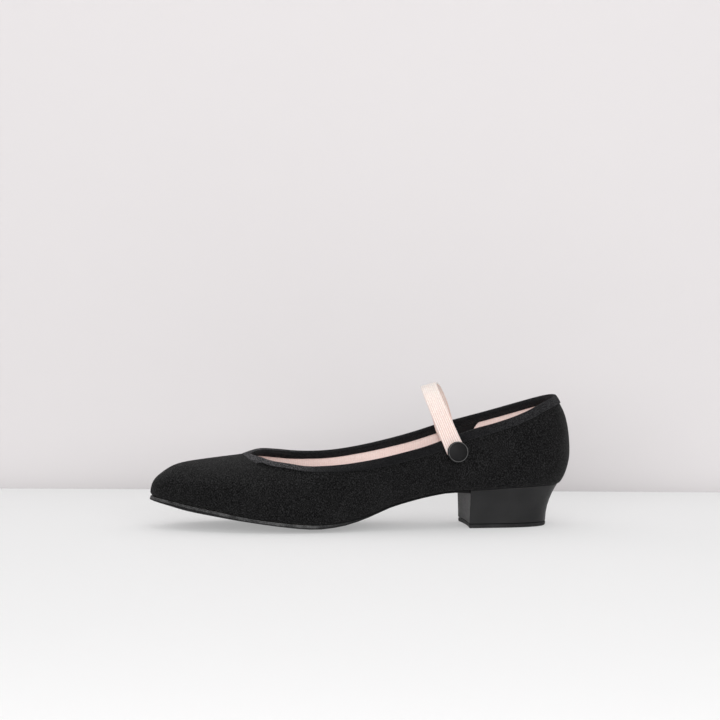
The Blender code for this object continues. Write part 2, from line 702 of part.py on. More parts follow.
def make_insole(last):
    """The insole: a sheet over the upper's margin, with a filler for the hollow between the margins."""
    def run(side):
        return last.inset_run(side, lambda x: INSOLE_SHARE * float(last.inset[side](x)) + INSOLE_INSET)

    edge = even_loop(run(1), run(-1), INSOLE_STEPS)
    over_margin = UPPER_WALL + 2.0 * CLEARANCE
    margin_reach = MARGIN_WIDTH + MARGIN_EASE
    rim = step_in(last, edge, INSOLE_BEVEL)
    ledge = step_in(last, edge, margin_reach)
    filler = step_in(last, edge, margin_reach + UPPER_WALL)
    top = over_margin + INSOLE_THICKNESS
    rings = [at_height(shrink(last, edge, share), last.sole_top, top) for share in INSOLE_RINGS]
    rings.append(at_height(rim, last.sole_top, top))
    rings.append(at_height(edge, last.sole_top, top - INSOLE_BEVEL))
    rings.append(at_height(edge, last.sole_top, over_margin))
    rings.append(at_height(ledge, last.sole_top, over_margin))
    rings.append(at_height(filler, last.sole_top, CLEARANCE))
    rings.append(at_height(shrink(last, filler, INSOLE_RINGS[0]), last.sole_top, CLEARANCE))
    return loft("insole", rings, INSOLE_LINING)


def seat_loop(last):
    """The heel's top outline: the feather line back from the breast, and the hollow breast across it."""
    x = BREAST_X
    shares = np.linspace(0.0, 1.0, HEEL_SIDE_STEPS + 1)
    outer, inner = (arc_resample(split_run(last.feather_run(side), x)[0], shares) for side in (1, -1))
    breast = []
    for k in range(1, BREAST_STEPS + 1):
        share = k / (BREAST_STEPS + 1)
        y = outer[-1][1] + (inner[-1][1] - outer[-1][1]) * share
        breast.append((x - 4.0 * BREAST_HOLLOW * share * (1.0 - share), y))
    return np.vstack((outer, breast, inner[:0:-1]))


def base_loop(last, fall):
    """The heel's outline a share of the way down: rear and sides draw in, the breast stays upright."""
    top = seat_loop(last)
    rear = float(top[:, 0].min())
    widest = HALF * float(np.ptp(top[:, 1]))
    share = 1.0 - (1.0 - fall) ** 2
    slim = 1.0 - HEEL_BASE_SIDE_CUT * (HALF * share + HALF * fall) / widest
    short = 1.0 - HEEL_BASE_REAR_CUT * share / (BREAST_X - rear)
    x = BREAST_X - (BREAST_X - top[:, 0]) * short
    return np.column_stack((x, top[:, 1] * slim))


def make_heel_block(last):
    """The heel: concave behind, slimmer at its base, with a pocket in its top for the outsole's seat."""
    base = TOP_PIECE_THICKNESS + CLEARANCE
    rings = []
    for fall in HEEL_FALLS[::-1]:
        ring = []
        for (x, y), (top_x, top_y) in zip(base_loop(last, fall), seat_loop(last)):
            seat = float(last.feather(top_x))
            ring.append((x, y, base + (seat - base) * (1.0 - fall)))
        rings.append(ring)
    block = loft("heel_block", rings, COVERED_HEEL)
    cut_pocket(last, block)
    return block


def cut_pocket(last, block):
    """Cuts the outsole's seat out of the heel's top, open towards the waist."""
    beyond = BREAST_X + POCKET_REACH
    halves = []
    for side in (1, -1):
        run = last.inset_run(side, lambda x: float(last.inset[side](x)) + SEAT_RIM)
        run = split_run(run, BREAST_X)[0]
        run = np.vstack((run, [(beyond, run[-1][1])]))
        halves.append(arc_resample(run, np.linspace(0.0, 1.0, HEEL_SIDE_STEPS + 1)))
    outer, inner = halves
    edge = np.vstack((outer, [HALF * (outer[-1] + inner[-1])], inner[:0:-1]))
    inner = shrink(last, edge, HALF)
    top = HEEL_HEIGHT + SEAT_RIM
    rings = [
        at_height(inner, last.sole_under, -CLEARANCE),
        at_height(edge, last.sole_under, -CLEARANCE),
        [(x, y, top) for x, y in edge],
        [(x, y, top) for x, y in inner],
    ]
    cutter = loft("seat_pocket_cutter", rings, COVERED_HEEL)
    cutter.hide_render = True
    cutter.display_type = "WIRE"
    cut = block.modifiers.new("seat_pocket", "BOOLEAN")
    cut.operation = "DIFFERENCE"
    cut.solver = "EXACT"
    cut.object = cutter


def make_top_piece(last):
    """The wear piece under the heel, with a small bevel round its upper edge."""
    edge = base_loop(last, 1.0)
    middle = edge.mean(axis=0)
    reach = np.linalg.norm(edge - middle, axis=1)[:, None]
    inner = edge + (middle - edge) / reach * TOP_PIECE_BEVEL
    heights = ((inner, 0.0), (edge, HALF * TOP_PIECE_BEVEL),
               (edge, TOP_PIECE_THICKNESS - TOP_PIECE_BEVEL), (inner, TOP_PIECE_THICKNESS))
    rings = [[(x, y, z) for x, y in ring] for ring, z in heights]
    return loft("top_piece", rings, RUBBER)


def strap_path(last):
    """The strap's middle line with its outward normals, from its outer end up and over to its inner end."""
    lean = math.tan(STRAP_LEAN)
    top_near = float(last.top_height[1](BUTTON_X))
    x_near = BUTTON_X + lean * (top_near - BUTTON_HEIGHT)
    top_near = float(last.top_height[1](x_near))
    x_far = STRAP_FAR_X
    top_far = float(last.top_height[-1](x_far))

    points = []
    end = top_near - BUTTON_HEIGHT + STRAP_END_REACH
    for drop in np.linspace(end, STRAP_FREE, STRAP_END_STEPS):
        x = x_near - lean * drop
        points.append(last.side_point(x, top_near - drop, 1, over_tape(drop) + HALF * STRAP_THICKNESS))
    near = last.side_point(x_near, top_near, 1, over_tape(0.0) + HALF * STRAP_THICKNESS)[0]
    far = last.side_point(x_far, top_far, -1, -tuck_depth(0.0))[0]
    rise_near, rise_far = STRAP_TOP - near.z, STRAP_TOP - far.z
    half_span = HALF * (near.y - far.y)
    crown_y = HALF * (near.y + far.y)
    for k in range(1, STRAP_ARCH_STEPS):
        side = math.cos(math.pi * k / STRAP_ARCH_STEPS)
        off = abs(side)
        foot, rise, fullness = ((near, rise_near, STRAP_NEAR_FULLNESS) if side >= 0.0
                                else (far, rise_far, STRAP_FAR_FULLNESS))
        sway = 0.0 if side >= 0.0 else STRAP_FAR_SWAY * off * off * (1.0 - off)
        up = 1.0 - off ** fullness
        skew = math.copysign(STRAP_SKEW * (off - off ** fullness), side)
        x = foot.x + (STRAP_TOP_X - foot.x) * up + skew - sway
        point = Vector((x, crown_y + half_span * side, foot.z + rise * up))
        steep = math.copysign(fullness * off ** (fullness - 1.0) * rise / half_span, side)
        outward = Vector((math.sin(STRAP_TOP_TILT) * up, steep, math.cos(STRAP_TOP_TILT)))
        points.append((point, outward))
    for drop in np.linspace(STRAP_FREE, STRAP_TUCK, STRAP_END_STEPS):
        x = x_far - lean * drop
        points.append(last.side_point(x, top_far - drop, -1, -tuck_depth(drop)))
    return points


def over_tape(drop, leg=BINDING_WIDTH):
    """The strap's distance from the upper's face: over the binding's leg, and on the wall below it."""
    tape = BINDING_GAP + BINDING_THICKNESS
    return CLEARANCE + tape * (1.0 - ease((drop - leg - STRAP_HOLD) / STRAP_SETTLE))


def tuck_depth(drop):
    """How far inward of the upper's outer face the strap's middle lies inside the shoe."""
    return wall_at(drop) + over_tape(drop, BINDING_INNER_WIDTH) + STRAP_BOW + HALF * STRAP_THICKNESS


def make_strap(last):
    """The elastic strap as one ribbon, its corners rounded at the outer end under the button."""
    path = strap_path(last)
    line = [point for point, outward in path]
    rings = []
    thick = HALF * STRAP_THICKNESS
    for k, (point, outward) in enumerate(path):
        along = (line[min(k + 1, len(line) - 1)] - line[max(k - 1, 0)]).normalized()
        outward = (outward - along * outward.dot(along)).normalized()
        across = along.cross(outward)
        half = HALF * STRAP_WIDTH * (STRAP_END_TAPER if k == 0 else 1.0)
        edge = half - thick * STRAP_EDGE_ROUND
        corners = ((half, 0.0), (edge, thick), (0.0, thick), (-edge, thick),
                   (-half, 0.0), (-edge, -thick), (0.0, -thick), (edge, -thick))
        rings.append([point + across * a + outward * b for a, b in corners])
    return loft("strap", rings, PINK_ELASTIC)


def make_patch(last):
    """The reinforcement inside the inner wall, swelling over the strap's fixed end."""
    lean = math.tan(STRAP_LEAN)
    band = HALF * STRAP_WIDTH / math.cos(STRAP_LEAN)
    rings = []
    for i in range(PATCH_COLUMNS + 1):
        across = i / PATCH_COLUMNS
        near_face, far_face = [], []
        for j in range(PATCH_ROWS + 1):
            deep = j / PATCH_ROWS
            corner = PATCH_CORNER * (1.0 - (1.0 - deep) ** PATCH_CORNER_POWER)
            x = PATCH_REAR + corner + (PATCH_FRONT - PATCH_REAR - 2.0 * corner) * across
            top = float(last.top_height[-1](x))
            drop = BINDING_INNER_WIDTH + PATCH_TAPE_GAP + PATCH_DEPTH * deep
            strap_x = STRAP_FAR_X - lean * drop
            outside = max(abs(x - strap_x) - band - CLEARANCE, 0.0) / PATCH_FALL
            over_strap = over_tape(drop - STRAP_HOLD, BINDING_INNER_WIDTH) + STRAP_BOW + STRAP_THICKNESS
            on_strap = wall_at(drop) + over_strap + CLEARANCE
            on_wall = wall_at(drop) + CLEARANCE
            base = on_strap + (on_wall - on_strap) * ease(outside)
            near_face.append(last.side_point(x, top - drop, -1, -base - PATCH_THICKNESS)[0])
            far_face.append(last.side_point(x, top - drop, -1, -base)[0])
        rings.append([*near_face, *far_face[::-1]])
    return loft_strip("strap_patch", rings, PATCH_CLOTH)


def loft_strip(name, rings, finish):
    """A thin plate through rings that run down one face and up the other, its end faces laid across."""
    mesh = bpy.data.meshes.new(name)
    form = bmesh.new()
    verts = [[form.verts.new(point) for point in ring] for ring in rings]
    count = len(rings[0])
    for lower, upper in zip(verts, verts[1:]):
        for i in range(count):
            j = (i + 1) % count
            form.faces.new((lower[i], lower[j], upper[j], upper[i]))
    for ring, flip in ((verts[0], True), (verts[-1], False)):
        for i in range(count // 2 - 1):
            corners = [ring[i], ring[i + 1], ring[count - 2 - i], ring[count - 1 - i]]
            form.faces.new(corners[::-1] if flip else corners)
    bmesh.ops.recalc_face_normals(form, faces=form.faces)
    form.to_mesh(mesh)
    form.free()
    return add_object(name, mesh, finish)


def make_button(last):
    """The snap's cap: a turned disc with a raised rim and a shallow dish."""
    top = float(last.top_height[1](BUTTON_X))
    off = over_tape(top - BUTTON_HEIGHT - HALF * BUTTON_DIAMETER) + STRAP_THICKNESS + CLEARANCE
    seat, axis = last.side_point(BUTTON_X, BUTTON_HEIGHT, 1, off)
    side = Vector((1.0, 0.0, 0.0))
    side = (side - axis * side.dot(axis)).normalized()
    up = axis.cross(side)
    radius = HALF * BUTTON_DIAMETER
    rim = radius - BUTTON_RIM
    profile = (
        # radius, height above the seat
        (BUTTON_SEAT_RADIUS, 0.0),
        (radius - BUTTON_DISH, 0.0),
        (radius, BUTTON_DISH),
        (radius, BUTTON_THICKNESS - BUTTON_DISH),
        (radius - BUTTON_DISH, BUTTON_THICKNESS),
        (rim, BUTTON_THICKNESS),
        (rim - BUTTON_DISH, BUTTON_THICKNESS - BUTTON_DISH),
        (BUTTON_DISH_RADIUS, BUTTON_THICKNESS - BUTTON_DISH),
    )
    rings = []
    for reach, lift in profile:
        angles = [2.0 * math.pi * k / BUTTON_SIDES for k in range(BUTTON_SIDES)]
        rings.append([seat + (side * math.cos(a) + up * math.sin(a)) * reach + axis * lift for a in angles])
    return loft("button", rings, SNAP_CAP)


def stand_at_origin(pieces):
    """Parents the pieces to one empty that puts the shoe's footprint around the origin."""
    corners = [item.matrix_world @ Vector(corner) for item in pieces for corner in item.bound_box]
    low = [min(corner[k] for corner in corners) for k in range(2)]
    high = [max(corner[k] for corner in corners) for k in range(2)]
    shoe = bpy.data.objects.new("character_shoe", None)
    bpy.context.scene.collection.objects.link(shoe)
    shoe.location = (-HALF * (low[0] + high[0]), -HALF * (low[1] + high[1]), 0.0)
    for item in bpy.context.scene.objects:
        if item.type == "MESH":
            item.parent = shoe


def main():
    """Builds the shoe in an emptied scene."""
    for item in list(bpy.data.objects):
        bpy.data.objects.remove(item, do_unlink=True)
    last = Last()
    makers = (make_upper, make_binding, make_outsole, make_insole, make_heel_block,
              make_top_piece, make_strap, make_patch, make_button)
    pieces = [make(last) for make in makers]
    bpy.context.view_layer.update()
    stand_at_origin(pieces)


main()
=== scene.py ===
"""A left canvas character shoe on a pale studio sweep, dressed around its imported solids.

Metres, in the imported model's own frame: +X runs from the heel to the toe, +Y to the wearer's left, which is
the outer side, and +Z up. Each class makes one of the shoemaker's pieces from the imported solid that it
stands for: the solid is copied, turned back into quads, refined, and given the cloth, elastic or rubber
that the real piece has.
"""

import logging
import math
from dataclasses import dataclass, field
from enum import Enum
from typing import ClassVar, Iterable, Sequence

import bmesh
import bpy
import numpy as np
from mathutils import Matrix, Vector

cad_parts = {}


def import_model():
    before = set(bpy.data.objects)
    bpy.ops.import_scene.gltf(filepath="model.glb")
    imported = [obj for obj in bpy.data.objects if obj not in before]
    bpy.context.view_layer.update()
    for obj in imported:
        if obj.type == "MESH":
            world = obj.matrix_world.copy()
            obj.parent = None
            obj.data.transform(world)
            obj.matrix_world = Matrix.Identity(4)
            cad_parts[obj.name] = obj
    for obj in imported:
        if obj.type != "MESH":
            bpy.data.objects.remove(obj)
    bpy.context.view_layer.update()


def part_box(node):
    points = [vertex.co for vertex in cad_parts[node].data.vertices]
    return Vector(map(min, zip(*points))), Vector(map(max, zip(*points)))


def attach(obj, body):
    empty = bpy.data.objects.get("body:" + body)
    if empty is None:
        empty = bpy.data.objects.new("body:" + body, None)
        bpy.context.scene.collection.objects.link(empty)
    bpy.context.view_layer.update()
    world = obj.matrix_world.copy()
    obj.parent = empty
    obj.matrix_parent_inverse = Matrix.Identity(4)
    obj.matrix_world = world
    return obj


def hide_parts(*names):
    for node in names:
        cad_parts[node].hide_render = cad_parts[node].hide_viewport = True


LOG = logging.getLogger("character_shoe")

BODY = "root"
MILLIMETRE = 0.001
HALF = 0.5
FULL_TURN = 2.0 * math.pi
MERGE = 1e-6
PATTERN_MAP = "pattern"
SHARP_ANGLE = 40.0

# The lower threads' height in a weave, and how soon one thread passes under the next
SUNK_THREAD = 0.5
CROSSING = 0.25

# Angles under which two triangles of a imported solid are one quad, and how much the quads keep in rows
FLAT_WITHIN = math.radians(80.0)
SQUARE_WITHIN = math.radians(179.0)
KEPT_IN_ROWS = 2.0

Colour = tuple[float, float, float]
Span = tuple[float, float]
Table = tuple[tuple[float, ...], tuple[float, ...]]

WHITE: Colour = (1.0, 1.0, 1.0)
BLACK: Colour = (0.0, 0.0, 0.0)


class Axis(Enum):
    """The three directions of the shoe's frame."""

    LENGTH = 0
    WIDTH = 1
    HEIGHT = 2


class Layers(Enum):
    """How many finer layers a noise has."""

    FEW = 2.0
    SOME = 3.0
    MANY = 4.0


class Region(Enum):
    """The sides of the upper's wall, in the order of its material slots."""

    OUTSIDE = 0
    LINING = 1


class Graph:
    """A material's node tree while it is put together."""

    def __init__(self, name: str) -> None:
        """Starts a material with a Principled shader.

        Args:
            name: the material's name.
        """
        self.material = bpy.data.materials.new(name)
        self.material.use_nodes = True
        self.nodes = self.material.node_tree.nodes
        self.links = self.material.node_tree.links
        self.shader = self.nodes["Principled BSDF"]
        self.place = self.add("ShaderNodeTexCoord").outputs["Object"]

    def add(self, kind: str, **settings: object) -> bpy.types.Node:
        """Adds a node.

        Args:
            kind: the node's type.
            settings: properties of the node by name.

        Returns:
            The node.
        """
        node = self.nodes.new(kind)
        for name, value in settings.items():
            setattr(node, name, value)
        return node

    def feed(self, node: bpy.types.Node, **inputs: object) -> bpy.types.Node:
        """Sets or links a node's inputs.

        Args:
            node: the node.
            inputs: a socket to link or a value to set, by the input's name, or its number after an "i".

        Returns:
            The same node.
        """
        for name, value in inputs.items():
            numbered = name[0] == "i" and name[1:].isdigit()
            socket = node.inputs[int(name[1:])] if numbered else node.inputs[name.replace("_", " ")]
            if isinstance(value, bpy.types.NodeSocket):
                self.links.new(value, socket)
            else:
                socket.default_value = value
        return node

    def sum(self, operation: str, *values: object) -> bpy.types.NodeSocket:
        """The result of a Math node.

        Args:
            operation: the node's operation.
            values: its sockets or numbers.

        Returns:
            The output socket.
        """
        node = self.add("ShaderNodeMath", operation=operation)
        return self.feed(node, **{f"i{k}": value for k, value in enumerate(values)}).outputs[0]

    def split(self, vector: bpy.types.NodeSocket) -> list[bpy.types.NodeSocket]:
        """The three parts of a vector as sockets."""
        return list(self.feed(self.add("ShaderNodeSeparateXYZ"), i0=vector).outputs)

    def along(self, axis: Axis) -> bpy.types.NodeSocket:
        """The place along one of the shoe's directions, in metres."""
        return self.split(self.place)[axis.value]

    def facing(self, axis: Axis) -> bpy.types.NodeSocket:
        """How far the surface faces one of the shoe's directions, from -1 to 1."""
        return self.split(self.add("ShaderNodeNewGeometry").outputs["Normal"])[axis.value]

    def pattern(self) -> list[bpy.types.NodeSocket]:
        """The piece's own UV map in metres, as sockets along and across the piece."""
        return self.split(self.add("ShaderNodeUVMap", uv_map=PATTERN_MAP).outputs[0])[:2]

    def noise(self, size: float, layers: Layers = Layers.SOME, place: bpy.types.NodeSocket | None = None,
              roughness: float = HALF) -> bpy.types.NodeSocket:
        """A noise value with patches of about a given size.

        Args:
            size: the patches' size in metres.
            layers: the number of finer layers.
            place: the coordinates, or the object's own where none are given.
            roughness: how strong the finer layers are.

        Returns:
            The value's socket.
        """
        node = self.add("ShaderNodeTexNoise")
        self.feed(node, Vector=place or self.place, Scale=1.0 / size)
        return self.feed(node, Detail=layers.value, Roughness=roughness).outputs[0]

    def spread(self, value: bpy.types.NodeSocket, low: float, high: float, to_low: float = 0.0,
               to_high: float = 1.0) -> bpy.types.NodeSocket:
        """A value mapped smoothly from one range to another.

        Args:
            value: the socket to map.
            low: the start of its range.
            high: the end of its range.
            to_low: the result at low.
            to_high: the result at high.

        Returns:
            The mapped value's socket.
        """
        node = self.add("ShaderNodeMapRange", interpolation_type="SMOOTHSTEP")
        return self.feed(node, i0=value, i1=low, i2=high, i3=to_low, i4=to_high).outputs[0]

    def blend(self, share: object, first: object, second: object) -> bpy.types.NodeSocket:
        """Two colours mixed.

        Args:
            share: the second colour's share.
            first: a colour or its socket.
            second: a colour or its socket.

        Returns:
            The mixed colour's socket.
        """
        node = self.add("ShaderNodeMix", data_type="RGBA")
        colours = [(*c, 1.0) if isinstance(c, tuple) else c for c in (first, second)]
        self.feed(node, i0=share, i6=colours[0], i7=colours[1])
        return node.outputs[2]

    def relief(self, height: bpy.types.NodeSocket, depth: float,
               under: bpy.types.NodeSocket | None = None) -> bpy.types.NodeSocket:
        """A normal that follows a height between 0 and 1.

        Args:
            height: the height's socket.
            depth: the depth in metres that a height of 1 stands for.
            under: the normal of a broader relief that this one lies on.

        Returns:
            The normal's socket.
        """
        node = self.feed(self.add("ShaderNodeBump"), Height=height, Distance=depth, Strength=1.0)
        if under is not None:
            self.feed(node, Normal=under)
        return node.outputs[0]

    def set(self, **constants: object) -> None:
        """Sets the shader's own sockets.

        Args:
            constants: values or sockets by the input's name.
        """
        self.feed(self.shader, **constants)


def thread_waves(graph: Graph, along: object, across: object, pitch: float) -> bpy.types.NodeSocket:
    """The height of a plain weave: warp over weft and weft over warp by turns, the warp standing prouder.

    Args:
        graph: the material's graph.
        along: the coordinate along the warp.
        across: the coordinate along the weft.
        pitch: the distance from thread to thread, in metres.

    Returns:
        The socket of a height between 0 and 1.
    """
    turns = [graph.sum("MULTIPLY", value, math.pi / pitch) for value in (along, across)]
    crowns = [graph.sum("ABSOLUTE", graph.sum("COSINE", turn)) for turn in turns]
    sunk = graph.sum("MULTIPLY", crowns[0], SUNK_THREAD)
    sines = [graph.sum("SINE", turn) for turn in turns]
    over = graph.spread(graph.sum("MULTIPLY", *sines), -CROSSING, CROSSING)
    return graph.sum("MULTIPLY_ADD", over, graph.sum("SUBTRACT", crowns[1], sunk), sunk)


@dataclass(frozen=True)
class WovenCloth:
    """Woven cloth whose threads run with the shoe: canvas, drill and patch cloth.

    The weave is laid flat on the side, the top and the ends of the shoe and blended where they meet. The
    slubs, which are thicker places in the threads, take the worn colour and are drawn out over the height;
    on faces that lie flat they show more strongly, a painted highlight.
    """

    name: str
    colour: Colour
    worn: Colour
    pitch: float
    depth: float
    roughness: float = 0.9
    sheen: float = 0.04
    sheen_roughness: float = 0.5
    shine: float = 0.06
    fleck: float = 0.6
    thread_contrast: float = 0.2
    cloud: float = 0.12
    cloud_size: float = 0.020
    cloud_range: Span = (0.2, 0.8)
    rib: float = 0.0
    rib_shade: float = 0.16
    lying: Span = (0.45, 0.65)
    ending: Span = (0.62, 0.82)
    sway_size: float = 0.012
    sway_pitches: float = 2.5
    slub_pitches: float = 0.45
    slub_stretch: tuple[float, float, float] = (1.0, 0.3, 0.5)
    slub_roughness: float = 0.6
    slub_range: Span = (0.44, 0.68)
    slub_height: float = 0.7
    lying_highlight: float = 0.5

    def make(self) -> bpy.types.Material:
        """Puts the cloth's material together.

        Returns:
            The material.
        """
        graph = Graph(self.name)
        x, y, z = graph.split(graph.place)
        lying = graph.spread(graph.sum("ABSOLUTE", graph.facing(Axis.HEIGHT)), *self.lying)
        ending = graph.spread(graph.sum("ABSOLUTE", graph.facing(Axis.LENGTH)), *self.ending)
        sway = graph.noise(self.sway_size, Layers.FEW)
        sway = graph.sum("MULTIPLY", sway, self.pitch * self.sway_pitches)
        weave = self.laid(graph, x, z, sway)
        weave = self.mixed(graph, ending, weave, self.laid(graph, y, z, sway))
        weave = self.mixed(graph, lying, weave, self.laid(graph, x, y, sway))
        stretched = graph.add("ShaderNodeVectorMath", operation="MULTIPLY")
        place = graph.feed(stretched, i0=graph.place, i1=self.slub_stretch).outputs[0]
        slub = graph.noise(self.pitch * self.slub_pitches, Layers.FEW, place, self.slub_roughness)
        # Slubs show more on flat-lying faces: a painted highlight on top of their real colour.
        strength = graph.sum("MULTIPLY_ADD", lying, self.lying_highlight * self.fleck, self.fleck)
        shade = graph.sum("MULTIPLY", graph.spread(slub, *self.slub_range), strength)
        cloud = graph.spread(graph.noise(self.cloud_size), *self.cloud_range, -self.cloud, self.cloud)
        shade = graph.sum("ADD", shade, cloud)
        shade = graph.sum("MULTIPLY_ADD", weave, self.thread_contrast, shade)
        normal = graph.relief(graph.sum("MULTIPLY_ADD", slub, self.slub_height, weave), self.depth)
        if self.rib:
            ribs = graph.sum("SINE", graph.sum("MULTIPLY", x, FULL_TURN / self.rib))
            normal = graph.relief(ribs, self.depth, normal)
            shade = graph.sum("MULTIPLY_ADD", ribs, self.rib_shade, shade)
        graph.set(
            Base_Color=graph.blend(shade, self.colour, self.worn), Roughness=self.roughness, Normal=normal,
            Sheen_Weight=self.sheen, Sheen_Roughness=self.sheen_roughness, Specular_IOR_Level=self.shine,
        )
        return graph.material

    def laid(self, graph: Graph, along: object, across: object, sway: object) -> bpy.types.NodeSocket:
        """The weave over one pair of the shoe's directions."""
        warp, weft = (graph.sum("ADD", place, sway) for place in (along, across))
        return thread_waves(graph, warp, weft, self.pitch)

    @staticmethod
    def mixed(graph: Graph, share: object, first: object, second: object) -> bpy.types.NodeSocket:
        """Two values mixed by the second one's share."""
        return graph.sum("MULTIPLY_ADD", share, graph.sum("SUBTRACT", second, first), first)


@dataclass(frozen=True)
class BindingTape:
    """A narrow twill tape, with its pattern laid along the piece's own UV map in metres.

    Its face takes a paler lit colour, a painted sheen, where it turns up towards the lamps round the throat,
    and a little of it on the outer side at the rear.
    """

    name: str = "twill_binding_tape"
    colour: Colour = (0.0035, 0.0035, 0.004)
    worn: Colour = (0.018, 0.018, 0.0195)
    # The colour of the painted sheen.
    lit: Colour = (0.20, 0.195, 0.205)
    dull_until: float = 0.018
    lit_from: float = 0.060
    upturned: Span = (0.3, 0.85)
    outer_side: Span = (-0.005, 0.01)
    rear_end: Span = (-0.10, -0.05)
    rear_sheen: float = 0.15
    pitch: float = 0.00055
    depth: float = 0.00012
    slant: float = 1.4
    twill_shade: float = 0.22
    fleck_pitches: float = 1.1
    fleck_range: Span = (0.3, 0.7)
    fleck_shade: float = 0.8
    fleck_height: float = 0.6
    lit_range: Span = (0.4, 0.68)
    roughness: float = 0.85
    sheen: float = 0.05
    sheen_roughness: float = 0.4
    shine: float = 0.08

    def make(self) -> bpy.types.Material:
        """Puts the tape's material together.

        Returns:
            The material.
        """
        graph = Graph(self.name)
        u, v = graph.pattern()
        slant = graph.sum("MULTIPLY_ADD", v, self.slant, u)
        twill = graph.sum("SINE", graph.sum("MULTIPLY", slant, FULL_TURN / self.pitch))
        fleck = graph.noise(self.pitch * self.fleck_pitches, Layers.FEW)
        shade = graph.spread(fleck, *self.fleck_range, to_high=self.fleck_shade)
        shade = graph.sum("MULTIPLY_ADD", twill, self.twill_shade, shade)
        plain = graph.blend(shade, self.colour, self.worn)
        forward = graph.along(Axis.LENGTH)
        front = graph.spread(forward, self.dull_until, self.lit_from)
        # Painted sheen: the lit colour where the tape faces up round the throat, and a little on the outer
        # side at the rear.
        throat = graph.sum("MULTIPLY", graph.spread(graph.facing(Axis.HEIGHT), *self.upturned), front)
        outer = graph.spread(graph.along(Axis.WIDTH), *self.outer_side, to_high=self.rear_sheen)
        rear = graph.sum("MULTIPLY", outer, graph.spread(forward, *self.rear_end, 1.0, 0.0))
        lit = graph.blend(graph.spread(fleck, *self.lit_range), self.worn, self.lit)
        graph.set(
            Base_Color=graph.blend(graph.sum("MAXIMUM", throat, rear), plain, lit),
            Roughness=self.roughness,
            Normal=graph.relief(graph.sum("MULTIPLY_ADD", fleck, self.fleck_height, twill), self.depth),
            Sheen_Weight=self.sheen, Sheen_Roughness=self.sheen_roughness, Specular_IOR_Level=self.shine,
        )
        return graph.material


@dataclass(frozen=True)
class RibbedElastic:
    """Covered elastic: fine cross threads over the lengthwise cords, laid along the piece's UV map.

    Higher up, over the instep, it is paler, a painted highlight, and its grooves are shallower.
    """

    name: str = "pink_ribbed_elastic"
    colour: Colour = (0.70, 0.50, 0.46)
    light: Colour = (0.87, 0.80, 0.74)
    # The height span over which the strap pales, a painted highlight, and its grooves ease.
    stretched: Span = (0.055, 0.095)
    height_highlight: float = 0.55
    pick: float = 0.00045
    pick_height: float = 0.1
    cord: float = 0.001215
    cord_height: float = -0.5
    groove: float = -0.5
    groove_eased: float = 0.4
    fuzz_size: float = 0.0009
    fuzz_range: Span = (0.25, 0.75)
    fuzz_shade: Span = (0.1, 0.5)
    depth: float = 0.00008
    roughness: float = 0.72
    sheen: float = 0.25
    sheen_roughness: float = 0.5
    shine: float = 0.3
    light_through: float = 0.35
    light_reach: tuple[float, float, float] = (0.004, 0.003, 0.0025)

    def make(self) -> bpy.types.Material:
        """Puts the elastic's material together.

        Returns:
            The material.
        """
        graph = Graph(self.name)
        u, v = graph.pattern()
        picks = graph.sum("SINE", graph.sum("MULTIPLY", u, FULL_TURN / self.pick))
        cords = graph.sum("COSINE", graph.sum("MULTIPLY", v, FULL_TURN / self.cord))
        fuzz = graph.noise(self.fuzz_size, Layers.FEW)
        height = graph.sum("MULTIPLY_ADD", cords, self.cord_height, fuzz)
        height = graph.sum("MULTIPLY_ADD", picks, self.pick_height, height)
        height_share = graph.spread(graph.along(Axis.HEIGHT), *self.stretched)
        eased = graph.sum("MULTIPLY_ADD", height_share, self.groove_eased, self.groove)
        shade = graph.spread(fuzz, *self.fuzz_range, *self.fuzz_shade)
        # Painted highlight: paler higher up the strap.
        shade = graph.sum("MULTIPLY_ADD", height_share, self.height_highlight, shade)
        shade = graph.sum("ADD", shade, graph.sum("MULTIPLY", cords, eased))
        graph.set(
            Base_Color=graph.blend(shade, self.colour, self.light), Roughness=self.roughness,
            Normal=graph.relief(height, self.depth), Specular_IOR_Level=self.shine,
            Sheen_Weight=self.sheen, Sheen_Roughness=self.sheen_roughness,
            Subsurface_Weight=self.light_through, Subsurface_Radius=self.light_reach, Subsurface_Scale=1.0,
        )
        return graph.material


@dataclass(frozen=True)
class Rubber:
    """Matt moulded rubber with a fine grain, paler here and there: worn on the sole and the heel's wear
    piece, a painted highlight on the sole's bevel.

    Where it has a pale span, it is plain behind that span and paler in front of it.
    """

    name: str
    colour: Colour
    wear_and_highlight: Colour
    grain: float = 0.0006
    depth: float = 0.00006
    roughness: float = 0.62
    shine: float = 0.15
    grain_range: Span = (0.4, 0.62)
    wear_size: float = 0.006
    wear_range: Span = (0.35, 0.75)
    uneven_range: Span = (0.2, 0.8)
    smoother: float = 0.08
    rougher: float = 0.1
    pale_span: Span | None = None

    def make(self) -> bpy.types.Material:
        """Puts the rubber's material together.

        Returns:
            The material.
        """
        graph = Graph(self.name)
        grain = graph.noise(self.grain)
        wear = graph.spread(graph.noise(self.wear_size, Layers.MANY), *self.wear_range)
        shade = graph.sum("MULTIPLY_ADD", wear, HALF, graph.spread(grain, *self.grain_range, to_high=HALF))
        if self.pale_span:
            shade = graph.sum("MULTIPLY", shade, graph.spread(graph.along(Axis.LENGTH), *self.pale_span))
        matt = (self.roughness - self.smoother, self.roughness + self.rougher)
        graph.set(
            Base_Color=graph.blend(shade, self.colour, self.wear_and_highlight),
            Roughness=graph.spread(grain, *self.uneven_range, *matt),
            Normal=graph.relief(grain, self.depth), Specular_IOR_Level=self.shine,
        )
        return graph.material


